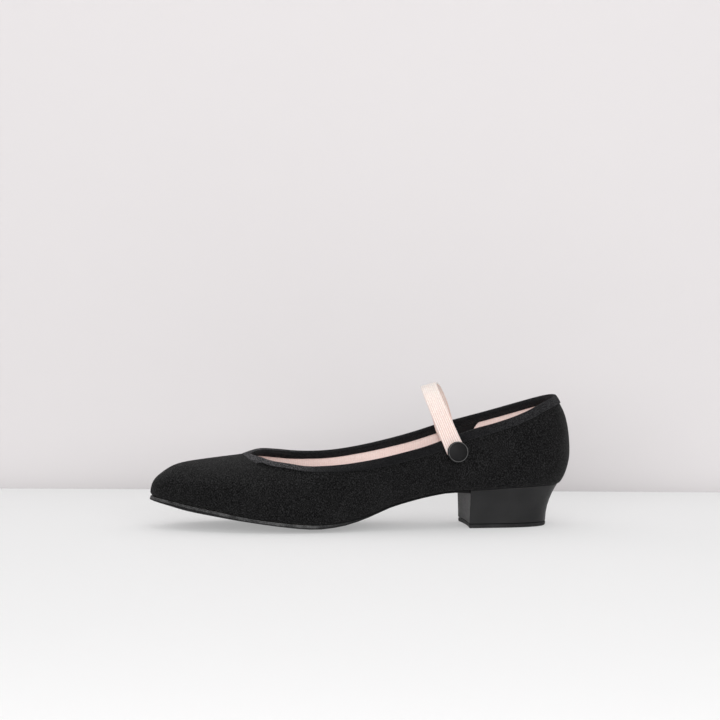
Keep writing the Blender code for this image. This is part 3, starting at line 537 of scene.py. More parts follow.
@dataclass(frozen=True)
class SmoothCover:
    """The smooth black covering of the heel: a low, even sheen with faint unevenness."""

    name: str = "smooth_heel_cover"
    colour: Colour = (0.010, 0.010, 0.0105)
    scuffed: Colour = (0.015, 0.015, 0.0155)
    roughness: float = 0.5
    shine: float = 0.25
    broad_size: float = 0.018
    broad_range: Span = (0.3, 0.75)
    broad_depth: float = 0.0001
    fine_size: float = 0.0012
    fine_range: Span = (0.2, 0.8)
    fine_depth: float = 0.00002
    smoother: float = 0.04
    rougher: float = 0.08

    def make(self) -> bpy.types.Material:
        """Puts the covering's material together.

        Returns:
            The material.
        """
        graph = Graph(self.name)
        broad = graph.noise(self.broad_size, Layers.FEW)
        fine = graph.noise(self.fine_size, Layers.MANY)
        matt = (self.roughness - self.smoother, self.roughness + self.rougher)
        graph.set(
            Base_Color=graph.blend(graph.spread(broad, *self.broad_range), self.colour, self.scuffed),
            Roughness=graph.spread(fine, *self.fine_range, *matt),
            Normal=graph.relief(fine, self.fine_depth, graph.relief(broad, self.broad_depth)),
            Specular_IOR_Level=self.shine,
        )
        return graph.material


@dataclass(frozen=True)
class SnapLacquer:
    """Black lacquer over the snap's pressed metal cap; a paler copy on the rim's crest is a painted
    highlight.
    """

    name: str = "black_snap_lacquer"
    colour: Colour = (0.004, 0.004, 0.0045)
    dull: Colour = (0.012, 0.012, 0.013)
    roughness: float = 0.42
    shine: float = 0.12
    peel_size: float = 0.0007
    peel_depth: float = 0.00001
    dulled_size: float = 0.0022
    dulled_range: Span = (0.5, 0.8)
    dulled_share: float = 0.5
    rougher_range: Span = (0.3, 0.8)
    rougher: float = 0.15

    def make(self) -> bpy.types.Material:
        """Puts the lacquer's material together.

        Returns:
            The material.
        """
        graph = Graph(self.name)
        orange_peel = graph.noise(self.peel_size, Layers.FEW)
        dulled = graph.noise(self.dulled_size)
        share = graph.spread(dulled, *self.dulled_range, to_high=self.dulled_share)
        matt = (self.roughness, self.roughness + self.rougher)
        graph.set(
            Base_Color=graph.blend(share, self.colour, self.dull),
            Roughness=graph.spread(dulled, *self.rougher_range, *matt),
            Normal=graph.relief(orange_peel, self.peel_depth), Specular_IOR_Level=self.shine,
        )
        return graph.material


@dataclass(frozen=True)
class SewingThread:
    """Twisted polyester thread, with a painted highlight: paler round the throat like the tape's painted
    sheen.
    """

    name: str
    colour: Colour
    pale: Colour
    dull_until: float = 0.026
    highlight_from: float = 0.060
    strand: float = 0.00025
    strand_shade: float = 0.5
    depth: float = 0.00005
    roughness: float = 0.55
    sheen: float = 0.2

    def make(self) -> bpy.types.Material:
        """Puts the thread's material together.

        Returns:
            The material.
        """
        graph = Graph(self.name)
        strands = graph.noise(self.strand, Layers.FEW)
        # Painted highlight: the thread pales towards the throat.
        front = graph.spread(graph.along(Axis.LENGTH), self.dull_until, self.highlight_from)
        tone = graph.blend(front, self.colour, self.pale)
        graph.set(
            Base_Color=graph.blend(graph.sum("MULTIPLY", strands, self.strand_shade), tone, BLACK),
            Normal=graph.relief(strands, self.depth), Roughness=self.roughness, Sheen_Weight=self.sheen,
        )
        return graph.material


@dataclass(frozen=True)
class PaperSweep:
    """One sheet of the matt paper round the shoe, with painted shade darker towards the fold between floor
    and wall.

    Its UV map's second part is the distance from the fold in metres. A little painted glow, though the paper
    is no lamp, keeps the shadows under the shoe pale. A sheet that shows its front alone doesn't hide the
    shoe from the other side.
    """

    name: str
    colour: Colour
    fold_shade: float
    fold_reach: float
    glow: float = 0.0
    front_alone: bool = False
    patch_size: float = 0.35
    patch_range: Span = (0.2, 0.8)
    patch_shade: float = 0.015
    roughness: float = 0.85
    shine: float = 0.1

    def make(self) -> bpy.types.Material:
        """Puts the paper's material together.

        Returns:
            The material.
        """
        graph = Graph(self.name)
        _, away = graph.pattern()
        # Painted shade, darkest at the fold.
        near = graph.sum("EXPONENT", graph.sum("MULTIPLY", away, -1.0 / self.fold_reach))
        patches = graph.noise(self.patch_size, Layers.FEW)
        patches = graph.spread(patches, *self.patch_range, to_high=self.patch_shade)
        shade = graph.sum("MULTIPLY_ADD", near, self.fold_shade, patches)
        # The emission is a painted glow that lifts the shadows on the floor.
        graph.set(
            Base_Color=graph.blend(shade, self.colour, BLACK), Roughness=self.roughness,
            Specular_IOR_Level=self.shine, Emission_Color=(*WHITE, 1.0), Emission_Strength=self.glow,
        )
        if self.front_alone:
            clear = graph.add("ShaderNodeBsdfTransparent").outputs[0]
            behind = graph.add("ShaderNodeNewGeometry").outputs["Backfacing"]
            sides = graph.add("ShaderNodeMixShader")
            graph.feed(sides, i0=behind, i1=graph.shader.outputs[0], i2=clear)
            graph.feed(graph.nodes["Material Output"], Surface=sides.outputs[0])
        return graph.material


CANVAS = WovenCloth("black_canvas", (0.0, 0.0, 0.0001), (0.0255, 0.0255, 0.026), 0.00085, 0.00016,
                    sheen=0.04, fleck=0.8, thread_contrast=0.2, cloud=0.06)
LINING = WovenCloth("pink_drill_lining", (0.97, 0.77, 0.72), (1.0, 0.90, 0.86), 0.00055, 0.00008,
                    sheen=0.25, shine=0.3, fleck=0.6, rib=0.0011)
PATCH_CLOTH = WovenCloth("black_patch_cloth", (0.009, 0.009, 0.0095), (0.022, 0.022, 0.023),
                         0.0005, 0.00012)
TAPE = BindingTape()
ELASTIC = RibbedElastic()
SOLE_RUBBER = Rubber("black_sole_rubber", (0.004, 0.004, 0.0042), (0.014, 0.014, 0.0145))
# The bevel's paler colour is a painted highlight, strongest round the forepart.
SOLE_BEVEL_HIGHLIGHT = Rubber("sole_bevel_painted_highlight", (0.006, 0.006, 0.0065), (0.10, 0.10, 0.101), depth=0.00012,
                    pale_span=(0.0, 0.04))
TIP_RUBBER = Rubber("black_tip_rubber", (0.010, 0.010, 0.0105), (0.024, 0.024, 0.0245))
HEEL_COVER = SmoothCover()
LACQUER = SnapLacquer()
# A paler copy of the lacquer for the rim's crest: a painted highlight.
RIM_HIGHLIGHT = SnapLacquer("snap_rim_painted_highlight", (0.07, 0.07, 0.07), (0.15, 0.15, 0.15))
# The second colour is the thread's painted highlight round the throat.
BINDING_THREAD = SewingThread("binding_thread", (0.03, 0.03, 0.032), (0.6, 0.6, 0.61))


def quads_of(node: str) -> bmesh.types.BMesh:
    """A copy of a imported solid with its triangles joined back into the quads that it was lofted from.

    Args:
        node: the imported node's name.

    Returns:
        A new bmesh, which the caller frees.
    """
    form = bmesh.new()
    form.from_mesh(bpy.data.objects[node].data)
    bmesh.ops.remove_doubles(form, verts=form.verts, dist=MERGE)
    bmesh.ops.join_triangles(
        form, faces=form.faces, angle_face_threshold=FLAT_WITHIN,
        angle_shape_threshold=SQUARE_WITHIN, topology_influence=KEPT_IN_ROWS,
    )
    for face in form.faces:
        face.material_index = 0
    return form


def hold_shape(form: bmesh.types.BMesh, keep: Iterable[bmesh.types.BMVert] = (), passes: int = 2) -> None:
    """Moves a cage outwards so that its subdivision surface runs through the cage's old points.

    The surface meets each point at n - 3 parts of the point to 4 of its edges' middles and 4 of its faces'
    middles, where n is the number of its edges.

    Args:
        form: the cage.
        keep: vertices that stay, such as those round a crease.
        passes: how often the cage is corrected.
    """
    kept = set(keep)
    aims = {vert: vert.co.copy() for vert in form.verts if vert not in kept and vert.link_faces}
    for _ in range(passes):
        moves = {}
        for vert, aim in aims.items():
            count = len(vert.link_edges)
            edges = sum((edge.other_vert(vert).co + vert.co for edge in vert.link_edges), Vector())
            edges /= 2.0 * count
            faces = sum((face.calc_center_median() for face in vert.link_faces), Vector())
            faces /= len(vert.link_faces)
            moves[vert] = aim - ((count - 3) * vert.co + 4.0 * edges + 4.0 * faces) / (count + 5)
        for vert, move in moves.items():
            vert.co += move


def finished(name: str, form: bmesh.types.BMesh, finishes: Sequence[bpy.types.Material],
             stands_for: str = "", sharp: float = SHARP_ANGLE) -> bpy.types.Object:
    """Turns a bmesh into a piece of the shoe that rides on its body.

    Args:
        name: the piece's name.
        form: its shape, which is freed.
        finishes: its materials, in slot order.
        stands_for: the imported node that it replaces, if any.
        sharp: the angle in degrees past which an edge stays sharp.

    Returns:
        The piece's object.
    """
    mesh = bpy.data.meshes.new(name)
    form.to_mesh(mesh)
    form.free()
    for material in finishes:
        mesh.materials.append(material)
    mesh.shade_smooth()
    mesh.set_sharp_from_angle(angle=math.radians(sharp))
    piece = bpy.data.objects.new(name, mesh)
    bpy.context.scene.collection.objects.link(piece)
    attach(piece, BODY)
    if stands_for:
        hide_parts(stands_for)
    LOG.info("%s: %d faces", name, len(mesh.polygons))
    return piece


def subdivide(piece: bpy.types.Object, levels: int) -> None:
    """Gives a piece a subdivision surface, the same on screen and in the render.

    Args:
        piece: the piece.
        levels: how many times each face is divided.
    """
    smooth = piece.modifiers.new("round", "SUBSURF")
    smooth.levels = levels
    smooth.render_levels = levels


def round_edges(piece: bpy.types.Object, width: float, segments: int, angle: float = SHARP_ANGLE) -> None:
    """Rounds a piece's sharp edges.

    Args:
        piece: the piece.
        width: the rounding's width in metres.
        segments: the number of faces across it.
        angle: the least angle in degrees of an edge that is rounded.
    """
    edge = piece.modifiers.new("worn_edge", "BEVEL")
    edge.width = width
    edge.segments = segments
    edge.limit_method = "ANGLE"
    edge.angle_limit = math.radians(angle)
    edge.harden_normals = True


def unit(vectors: np.ndarray) -> np.ndarray:
    """The vectors at a length of 1."""
    return vectors / np.linalg.norm(vectors, axis=1)[:, None]


def through(rows: np.ndarray, count: int, closed: bool) -> np.ndarray:
    """More rows on smooth curves through the given ones, each span drawn from the four rows round it.

    Args:
        rows: the rows to run through, along the first axis.
        count: how many rows to give back.
        closed: whether the last row is followed by the first.

    Returns:
        The rows; where closed, the last one repeats the first.
    """
    total = len(rows)
    spans = total if closed else total - 1
    at = np.linspace(0.0, spans, count)
    first = np.minimum(at.astype(int), spans - 1)
    share = (at - first).reshape((-1,) + (1,) * (rows.ndim - 1))
    steps = [first + k for k in (-1, 0, 1, 2)]
    a, b, c, d = (rows[k % total] if closed else rows[np.clip(k, 0, total - 1)] for k in steps)
    slope, bend, twist = c - a, 2.0 * a - 5.0 * b + 4.0 * c - d, 3.0 * (b - c) + d - a
    return HALF * (2.0 * b + slope * share + bend * share ** 2 + twist * share ** 3)


def cloth_grid(points: np.ndarray, size: tuple[float, float]) -> bmesh.types.BMesh:
    """A sheet over a grid of points, with a UV map in metres.

    Args:
        points: positions by column and row.
        size: the sheet's length over the columns and its width over the rows, in metres.

    Returns:
        A new bmesh. Its first and last columns are merged where they meet.
    """
    columns, rows = points.shape[0] - 1, points.shape[1] - 1
    form = bmesh.new()
    pattern = form.loops.layers.uv.new(PATTERN_MAP)
    bmesh.ops.create_grid(form, x_segments=columns, y_segments=rows, size=1.0)
    spots = {vert: (HALF * (vert.co.x + 1.0), HALF * (vert.co.y + 1.0)) for vert in form.verts}
    for face in form.faces:
        for corner in face.loops:
            u, v = spots[corner.vert]
            corner[pattern].uv = (u * size[0], v * size[1])
    for vert, (u, v) in spots.items():
        vert.co = points[round(u * columns), round(v * rows)]
    bmesh.ops.remove_doubles(form, verts=form.verts, dist=MERGE)
    return form


class PackedTube:
    """The cross-sections of a tube-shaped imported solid, read from its mesh in order."""

    LONGEST_LOOP: ClassVar[int] = 1000
    CORNERS_OF_A_QUAD: ClassVar[int] = 4

    def __init__(self, node: str, around: int) -> None:
        """Reads the sections.

        Args:
            node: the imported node's name.
            around: the number of points round one section.
        """
        form = quads_of(node)
        form.verts.ensure_lookup_table()
        self.around = around
        quads = (face for face in form.faces if len(face.verts) == self.CORNERS_OF_A_QUAD)
        start = next(
            corner for face in quads for corner in face.loops
            if self.is_section(corner) and self.is_section(corner.link_loop_radial_next)
        )
        ahead, self.closed = self.follow(start)
        if self.closed:
            sections = ahead
        else:
            behind, _ = self.follow(start.link_loop_radial_next)
            sections = [self.mirrored(section) for section in behind[:0:-1]] + ahead
        self.sections = np.array([[tuple(vert.co) for vert in section] for section in sections])
        form.free()

    def ring(self, corner: bmesh.types.BMLoop) -> list[bmesh.types.BMVert]:
        """The vertices of the edge loop that starts at a face's corner.

        Args:
            corner: the corner.

        Returns:
            The vertices in order.
        """
        ring = [corner.vert]
        here = corner.link_loop_next.link_loop_radial_next.link_loop_next
        while here.edge != corner.edge and len(ring) < self.LONGEST_LOOP:
            ring.append(here.vert)
            here = here.link_loop_next.link_loop_radial_next.link_loop_next
        return ring

    @staticmethod
    def mirrored(section: list[bmesh.types.BMVert]) -> list[bmesh.types.BMVert]:
        """A section walked the other way round, with its first two vertices exchanged."""
        return [section[1], section[0], *section[:1:-1]]

    def is_section(self, corner: bmesh.types.BMLoop) -> bool:
        """Whether the edge loop at a corner goes once round the tube."""
        return len(self.ring(corner)) == self.around

    def follow(self, corner: bmesh.types.BMLoop) -> tuple[list[list[bmesh.types.BMVert]], bool]:
        """Walks along the tube from a section.

        Args:
            corner: a corner on the section, on the side to walk to.

        Returns:
            The sections in order, each from the same lengthwise line on, and whether they close a ring.
        """
        sections = [self.ring(corner)]
        first = sections[0][0]
        while self.is_section(corner):
            corner = corner.link_loop_next.link_loop_next.link_loop_radial_next
            back = corner.link_loop_radial_next
            ring = self.ring(back)
            if len(ring) != self.around:
                return sections, False
            section = self.mirrored(ring)
            if section[0] == first:
                return sections, True
            sections.append(section)
        return sections, False


@dataclass(frozen=True)
class Needlework:
    """A row of lockstitches: short threads that dip into the cloth at both ends."""

    length: float = 0.0019
    gap: float = 0.0006
    thickness: float = 0.00048
    facets: int = 8
    rings: int = 6

    def sew(self, form: bmesh.types.BMesh, line: np.ndarray, facing: np.ndarray) -> int:
        """Adds stitches along a line.

        Args:
            form: the bmesh that takes the stitches.
            line: points along the seam, on the cloth's surface.
            facing: the surface's normals at those points.

        Returns:
            The number of stitches.
        """
        travelled = np.concatenate(([0.0], np.cumsum(np.linalg.norm(np.diff(line, axis=0), axis=1))))
        count = int(travelled[-1] // (self.length + self.gap))
        for number in range(count):
            middle = (number + HALF) * travelled[-1] / count
            ends = [self.at(line, travelled, middle + side * HALF * self.length) for side in (-1.0, 1.0)]
            along = (ends[1] - ends[0]).normalized()
            up = self.at(facing, travelled, middle)
            up = (up - along * up.dot(along)).normalized()
            turn = Matrix((along, up.cross(along), up)).transposed().to_4x4()
            sizes = (HALF * self.length, HALF * self.thickness, HALF * self.thickness, 1.0)
            spot = self.at(line, travelled, middle)
            place = Matrix.Translation(spot) @ turn @ Matrix.Diagonal(sizes)
            bmesh.ops.create_uvsphere(
                form, u_segments=self.facets, v_segments=self.rings, radius=1.0, matrix=place,
            )
        return count

    @staticmethod
    def at(values: np.ndarray, travelled: np.ndarray, distance: float) -> Vector:
        """The value at a distance along the line."""
        return Vector([np.interp(distance, travelled, values[:, k]) for k in range(3)])


@dataclass(frozen=True)
class ThroatPress:
    """How far the collar's front end is pressed down on the vamp, and its outer side beside it lifted."""

    pressed: Table = ((0.0615, 0.0655), (0.0, 0.0007))
    lifted: Table = ((0.038, 0.050, 0.058, 0.0625, 0.066), (0.0, 0.0007, 0.0010, 0.0014, 0.0))
    outer: Table = ((0.0, 0.006), (0.0, 1.0))
    above: float = 0.03

    def at(self, x: np.ndarray, y: np.ndarray) -> np.ndarray:
        """How far down a place on the collar goes."""
        return np.interp(x, *self.pressed) - np.interp(x, *self.lifted) * np.interp(y, *self.outer)


@dataclass
class CanvasUpper:
    """The canvas upper: its outside in black canvas and its inside in pink drill."""

    node: str = "upper"
    crease: float = math.radians(55.0)
    levels: int = 2
    press: ThroatPress = ThroatPress()

    def build(self) -> bpy.types.Object:
        """Makes the upper.

        Returns:
            Its object.
        """
        form = quads_of(self.node)
        outside = self.shell_from(form, max(form.faces, key=lambda face: face.calc_center_median().x))
        for face in form.faces:
            face.material_index = (Region.OUTSIDE if face in outside else Region.LINING).value
        rim = [vert for vert in form.verts if len({face in outside for face in vert.link_faces}) > 1]
        for vert in rim:
            if vert.co.z > self.press.above:
                vert.co.z -= float(self.press.at(vert.co.x, vert.co.y))
        hold_shape(form, rim)
        piece = finished("canvas_upper", form, (CANVAS.make(), LINING.make()), self.node)
        subdivide(piece, self.levels)
        return piece

    def shell_from(self, form: bmesh.types.BMesh, seed: bmesh.types.BMFace) -> set[bmesh.types.BMFace]:
        """The faces that a face is joined to without a sharp edge between.

        Args:
            form: the wall's mesh.
            seed: a face of the side that is wanted.

        Returns:
            The side's faces.
        """
        found, waiting = {seed}, [seed]
        while waiting:
            for edge in waiting.pop().edges:
                for face in edge.link_faces:
                    if face not in found and edge.calc_face_angle(0.0) < self.crease:
                        found.add(face)
                        waiting.append(face)
        return found


@dataclass
class CollarBinding:
    """The folded tape round the collar, with a row of stitches near each of its edges."""

    node: str = "collar_binding"
    around: int = 10
    columns: int = 480
    leg_rows: int = 6
    crown_rows: int = 2
    thickness: float = 0.0004
    pull_leg: float = 0.00068
    pull_fold: float = 0.00045
    settle: float = 0.00015
    throat_settle: float = 0.0004
    inner_trim: float = 0.0008
    outer_trim: float = 0.0009
    press: ThroatPress = ThroatPress()
    puff: float = 0.00018
    stitch_row: float = 0.17
    stitch_lift: float = 0.8
    width: float = 0.0112
    collar_length: float = 0.430
    tape_sharp: float = 60.0
    stitch_sharp: float = 80.0
    needle: Needlework = field(default_factory=Needlework)

    ROWS: ClassVar[int] = 6
    TRIMMED: ClassVar[Table] = ((-0.03, 0.0, 0.03, 0.045), (0.0, 1.0, 1.0, 0.0))
    NARROWED: ClassVar[Table] = ((0.010, 0.035, 0.062, 0.068), (0.0, 1.0, 1.0, 0.3))
    THROAT: ClassVar[Table] = ((0.061, 0.0655), (0.0, 1.0))

    def face_rows(self) -> np.ndarray:
        """Finds the lengthwise rows of the binding's outer face: two on each leg and two over the fold.

        Returns:
            The rows, from the outer leg's foot to the inner leg's.
        """
        rows = PackedTube(self.node, self.around).sections.transpose(1, 0, 2)
        breadth = [abs(row[:, 1]).mean() - row[:, 2].mean() for row in rows]
        foot = int(np.argmax(breadth))
        onward, back = (rows[(foot + way) % self.around] - rows[foot] for way in (1, -1))
        longer = np.linalg.norm(onward, axis=1).mean() > np.linalg.norm(back, axis=1).mean()
        way = 1 if longer else -1
        return np.array([rows[(foot + way * k) % self.around] for k in range(self.ROWS)])

    def drawn_in(self, rows: np.ndarray) -> np.ndarray:
        """The rows after the tape is pulled down on the wall, as the sewing does.

        Args:
            rows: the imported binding's rows.

        Returns:
            The rows of the dressed tape.
        """
        across = unit(rows[0] - rows[-1])
        rise = unit(HALF * (rows[2] + rows[3] - rows[0] - rows[-1]))
        outward = (self.pull_leg, self.pull_fold, 0.0, 0.0, -self.pull_fold, -self.pull_leg)
        lowered = (0.0, self.settle, self.settle, self.settle, self.settle, 0.0)
        moved = zip(rows, outward, lowered)
        drawn = np.array([row - across * out - rise * low for row, out, low in moved])
        trims = ((-1, self.inner_trim, self.TRIMMED), (0, self.outer_trim, self.NARROWED))
        for foot, trim, table in trims:
            drawn[foot] += rise * trim * np.interp(drawn[foot][:, 0], *table)[:, None]
        drawn[..., 2] -= self.press.at(drawn[..., 0], drawn[..., 1])
        drawn[1:-1] -= rise * self.throat_settle * np.interp(drawn[1:-1, :, 0], *self.THROAT)[:, :, None]
        return drawn

    def build(self) -> list[bpy.types.Object]:
        """Makes the tape and its stitches.

        Returns:
            Their objects.
        """
        rows = self.drawn_in(np.array([through(row, self.columns + 1, True) for row in self.face_rows()]))
        across = unit(rows[0] - rows[-1])
        outer, inner = 1, self.ROWS - 2
        shares = np.concatenate((
            np.linspace(0.0, outer, self.leg_rows + 1)[:-1],
            np.linspace(outer, inner, (inner - outer) * self.crown_rows + 1)[:-1],
            np.linspace(inner, inner + 1, self.leg_rows + 1),
        ))
        lines = []
        for share in shares:
            leg = float(share < outer) - float(share > inner)
            puffed = leg * self.puff * math.sin(math.pi * (share % 1.0))
            lines.append(self.between(rows, share) + across * puffed)
        form = cloth_grid(np.array(lines).transpose(1, 0, 2), (self.collar_length, self.width))
        dressing = (TAPE.make(),)
        tape = finished("twill_collar_binding", form, dressing, self.node, self.tape_sharp)
        wall = tape.modifiers.new("tape_thickness", "SOLIDIFY")
        wall.thickness = self.thickness
        wall.offset = -1.0 if self.faces_out(tape) else 1.0
        wall.use_even_offset = True
        subdivide(tape, 1)
        return [tape, self.stitches(rows)]

    @staticmethod
    def between(rows: np.ndarray, share: float) -> np.ndarray:
        """The line a share of the way from one row to the next."""
        first = min(int(share), len(rows) - 2)
        return rows[first] + (rows[first + 1] - rows[first]) * (share - first)

    @staticmethod
    def faces_out(tape: bpy.types.Object) -> bool:
        """Whether the sheet's faces point away from the shoe's wall."""
        return sum(face.normal.y * face.center.y for face in tape.data.polygons) > 0.0

    def stitches(self, rows: np.ndarray) -> bpy.types.Object:
        """Sews the row of stitches near the foot of each leg.

        Args:
            rows: the tape's lengthwise rows.

        Returns:
            The stitches' object.
        """
        form = bmesh.new()
        for foot, shoulder, other in ((0, 1, -1), (-1, -2, 0)):
            away = unit(rows[foot] - rows[other])
            line = rows[foot] + (rows[shoulder] - rows[foot]) * self.stitch_row
            self.needle.sew(form, line + away * self.stitch_lift * self.puff, away)
        return finished("binding_stitches", form, (BINDING_THREAD.make(),), sharp=self.stitch_sharp)


@dataclass
class InstepStrap:
    """The elastic strap over the instep, with its cords as lengthwise ribs on both faces."""

    node: str = "strap"
    around: int = 8
    columns: int = 260
    cords: int = 10
    rows_per_cord: int = 6
    rib: float = 0.0001
    thickness: float = 0.00095
    narrowing: float = 0.17
    front_taper: float = 0.045
    far_taper: float = 0.015
    end_radius: float = 0.0055
    end_blunt: float = 0.03
    sharp: float = 60.0

    MEASURED_SECTION: ClassVar[int] = 5

    def build(self) -> bpy.types.Object:
        """Makes the strap.

        Returns:
            Its object.
        """
        sections = PackedTube(self.node, self.around).sections
        section = sections[self.MEASURED_SECTION]
        reach = [np.linalg.norm(section[k] - section[k - self.around // 2]) for k in range(self.around)]
        left = int(np.argmax(reach))
        right = (left + self.around // 2) % self.around
        spine = through(sections.mean(axis=1), self.columns + 1, False)
        across = through(sections[:, right] - sections[:, left], self.columns + 1, False)
        top = spine[np.argmax(spine[:, 2])]
        taper = np.where(spine[:, 1] > top[1], self.front_taper, self.far_taper)
        across *= 1.0 - self.narrowing * np.clip(1.0 + (spine[:, 2:] - top[2]) / taper[:, None], 0.0, 1.0)
        across *= self.end_rounding(spine)[:, None]
        outward = unit(np.cross(np.gradient(spine, axis=0), across))
        if outward[self.columns // 2][2] < 0.0:
            outward = -outward
        share = np.linspace(-HALF, HALF, self.cords * self.rows_per_cord + 1)
        ribs = -HALF * self.rib * np.cos(FULL_TURN * self.cords * (share + HALF))
        flat = spine[:, None] + across[:, None] * share[None, :, None]
        lift = outward[:, None] * (HALF * self.thickness + ribs)[None, :, None]
        face = flat + lift
        points = np.concatenate((face, (flat - lift)[:, ::-1], face[:, :1]), axis=1)
        length = float(np.linalg.norm(np.diff(spine, axis=0), axis=1).sum())
        width = float(np.linalg.norm(across[self.columns // 2]))
        form = cloth_grid(points, (length, 2.0 * (width + self.thickness)))
        bmesh.ops.holes_fill(form, edges=[edge for edge in form.edges if edge.is_boundary])
        bmesh.ops.recalc_face_normals(form, faces=form.faces)
        LOG.info("strap %.0f mm long, %.1f mm wide", length / MILLIMETRE, width / MILLIMETRE)
        dressing = (ELASTIC.make(),)
        return finished("ribbed_instep_strap", form, dressing, self.node, self.sharp)

    def end_rounding(self, spine: np.ndarray) -> np.ndarray:
        """The share of the strap's width that is left along it, for a round end behind the button.

        Args:
            spine: the strap's middle line.

        Returns:
            The share at each of its points.
        """
        outer = spine[0] if spine[0, 1] > spine[-1, 1] else spine[-1]
        to_end = np.linalg.norm(spine - outer, axis=1)
        return np.sqrt(1.0 - (1.0 - np.clip(to_end / self.end_radius, self.end_blunt, 1.0)) ** 2)


@dataclass
class SnapButton:
    """The snap's pressed cap: a turned disc with a rolled rim round a nearly flat face."""

    node: str = "button"
    radius: float = 0.0061
    height: float = 0.0027
    rim: float = 0.0008
    dish: float = 0.00035
    dish_edge: float = 0.25
    crown: float = 0.0003
    crown_shoulder: float = 0.7
    rim_highlight_share: float = 0.8
    rim_steps: int = 6
    sides: int = 96
    sharp: float = 50.0

    def build(self) -> bpy.types.Object:
        """Makes the cap.

        Returns:
            Its object.
        """
        points = np.array([tuple(vert.co) for vert in bpy.data.objects[self.node].data.vertices])
        low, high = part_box(self.node)
        middle = (low + high) * HALF
        _, _, directions = np.linalg.svd(points - points.mean(axis=0))
        axis = Vector(directions[2])
        axis = axis if axis.y > 0.0 else -axis
        depth = [(Vector(point) - middle).dot(axis) for point in points]
        seat = middle + axis * min(depth)
        form = self.turned()
        place = axis.to_track_quat("Z", "Y").to_matrix().to_4x4()
        place.translation = seat
        crest = self.height - HALF * self.rim * (1.0 - self.rim_highlight_share)
        # The rim's crest takes the painted highlight material.
        for face in form.faces:
            face.material_index = int(face.calc_center_median().z > crest)
        bmesh.ops.transform(form, matrix=place, verts=form.verts)
        dressing = (LACQUER.make(), RIM_HIGHLIGHT.make())
        return finished("snap_button_cap", form, dressing, self.node, self.sharp)

    def turned(self) -> bmesh.types.BMesh:
        """The cap's profile spun round its axis, standing on z = 0.

        Returns:
            A new bmesh.
        """
        inner = self.radius - self.rim
        roll = HALF * self.rim
        flat = self.height - self.dish
        profile = [(0.0, 0.0), (inner, 0.0), (self.radius, self.rim)]
        for step in range(self.rim_steps + 1):
            angle = math.pi * step / self.rim_steps
            reach = self.radius - roll * (1.0 - math.cos(angle))
            profile.append((reach, self.height - roll + roll * math.sin(angle)))
        profile += [
            (inner - self.dish_edge * self.rim, flat),
            (HALF * inner, flat + self.crown_shoulder * self.crown),
            (0.0, flat + self.crown),
        ]
        form = bmesh.new()
        verts = [form.verts.new((reach, 0.0, lift)) for reach, lift in profile]
        edges = [form.edges.new(pair) for pair in zip(verts, verts[1:])]
        bmesh.ops.spin(
            form, geom=verts + edges, axis=(0.0, 0.0, 1.0), cent=(0.0, 0.0, 0.0), angle=FULL_TURN,
            steps=self.sides, use_merge=True,
        )
        bmesh.ops.remove_doubles(form, verts=form.verts, dist=MERGE)
        bmesh.ops.recalc_face_normals(form, faces=form.faces)
        return form


@dataclass
class AnchorPatch:
    """The black patch that holds the strap's fixed end inside the shoe."""

    node: str = "strap_patch"
    tucked: float = 0.0018
    sharp: float = 60.0

    def build(self) -> bpy.types.Object:
        """Makes the patch.

        Returns:
            Its object.
        """
        form = quads_of(self.node)
        low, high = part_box(self.node)
        for vert in form.verts:
            vert.co.z += self.tucked * (vert.co.z - low.z) / (high.z - low.z)
        dressing = (PATCH_CLOTH.make(),)
        piece = finished("strap_anchor_patch", form, dressing, self.node, self.sharp)
        subdivide(piece, 1)
        return piece


@dataclass
class LinedInsole:
    """The insole under its pink drill lining."""

    node: str = "insole"
    edge: float = 0.0004
    edge_faces: int = 2
    sharp: float = 50.0

    def build(self) -> bpy.types.Object:
        """Makes the insole.

        Returns:
            Its object.
        """
        form = quads_of(self.node)
        piece = finished("lined_insole", form, (LINING.make(),), self.node, self.sharp)
        round_edges(piece, self.edge, self.edge_faces, self.sharp)
        return piece


@dataclass
class Outsole:
    """The moulded outsole, whose bevelled upper edge is paler round the forepart with a painted highlight."""

    node: str = "outsole"
    edge: float = 0.00035
    edge_faces: int = 3
    edge_angle: float = 25.0
    bevel_slope: Span = (0.4, 0.9)
    bevel_depth: float = 0.0011
    deepened: Table = ((0.005, 0.035), (0.0, 1.0))

    def build(self) -> bpy.types.Object:
        """Makes the outsole.

        Returns:
            Its object.
        """
        form = quads_of(self.node)
        low, high = self.bevel_slope
        bevelled = {face for face in form.faces if low < face.normal.z < high}
        sides = {face for face in form.faces if abs(face.normal.z) < low}
        # The bevel's faces take the painted highlight material.
        for face in bevelled:
            face.material_index = 1
        for vert in form.verts:
            if bevelled.intersection(vert.link_faces) and sides.intersection(vert.link_faces):
                vert.co.z -= self.bevel_depth * float(np.interp(vert.co.x, *self.deepened))
        dressing = (SOLE_RUBBER.make(), SOLE_BEVEL_HIGHLIGHT.make())
        piece = finished("moulded_outsole", form, dressing, self.node)
        round_edges(piece, self.edge, self.edge_faces, self.edge_angle)
        return piece


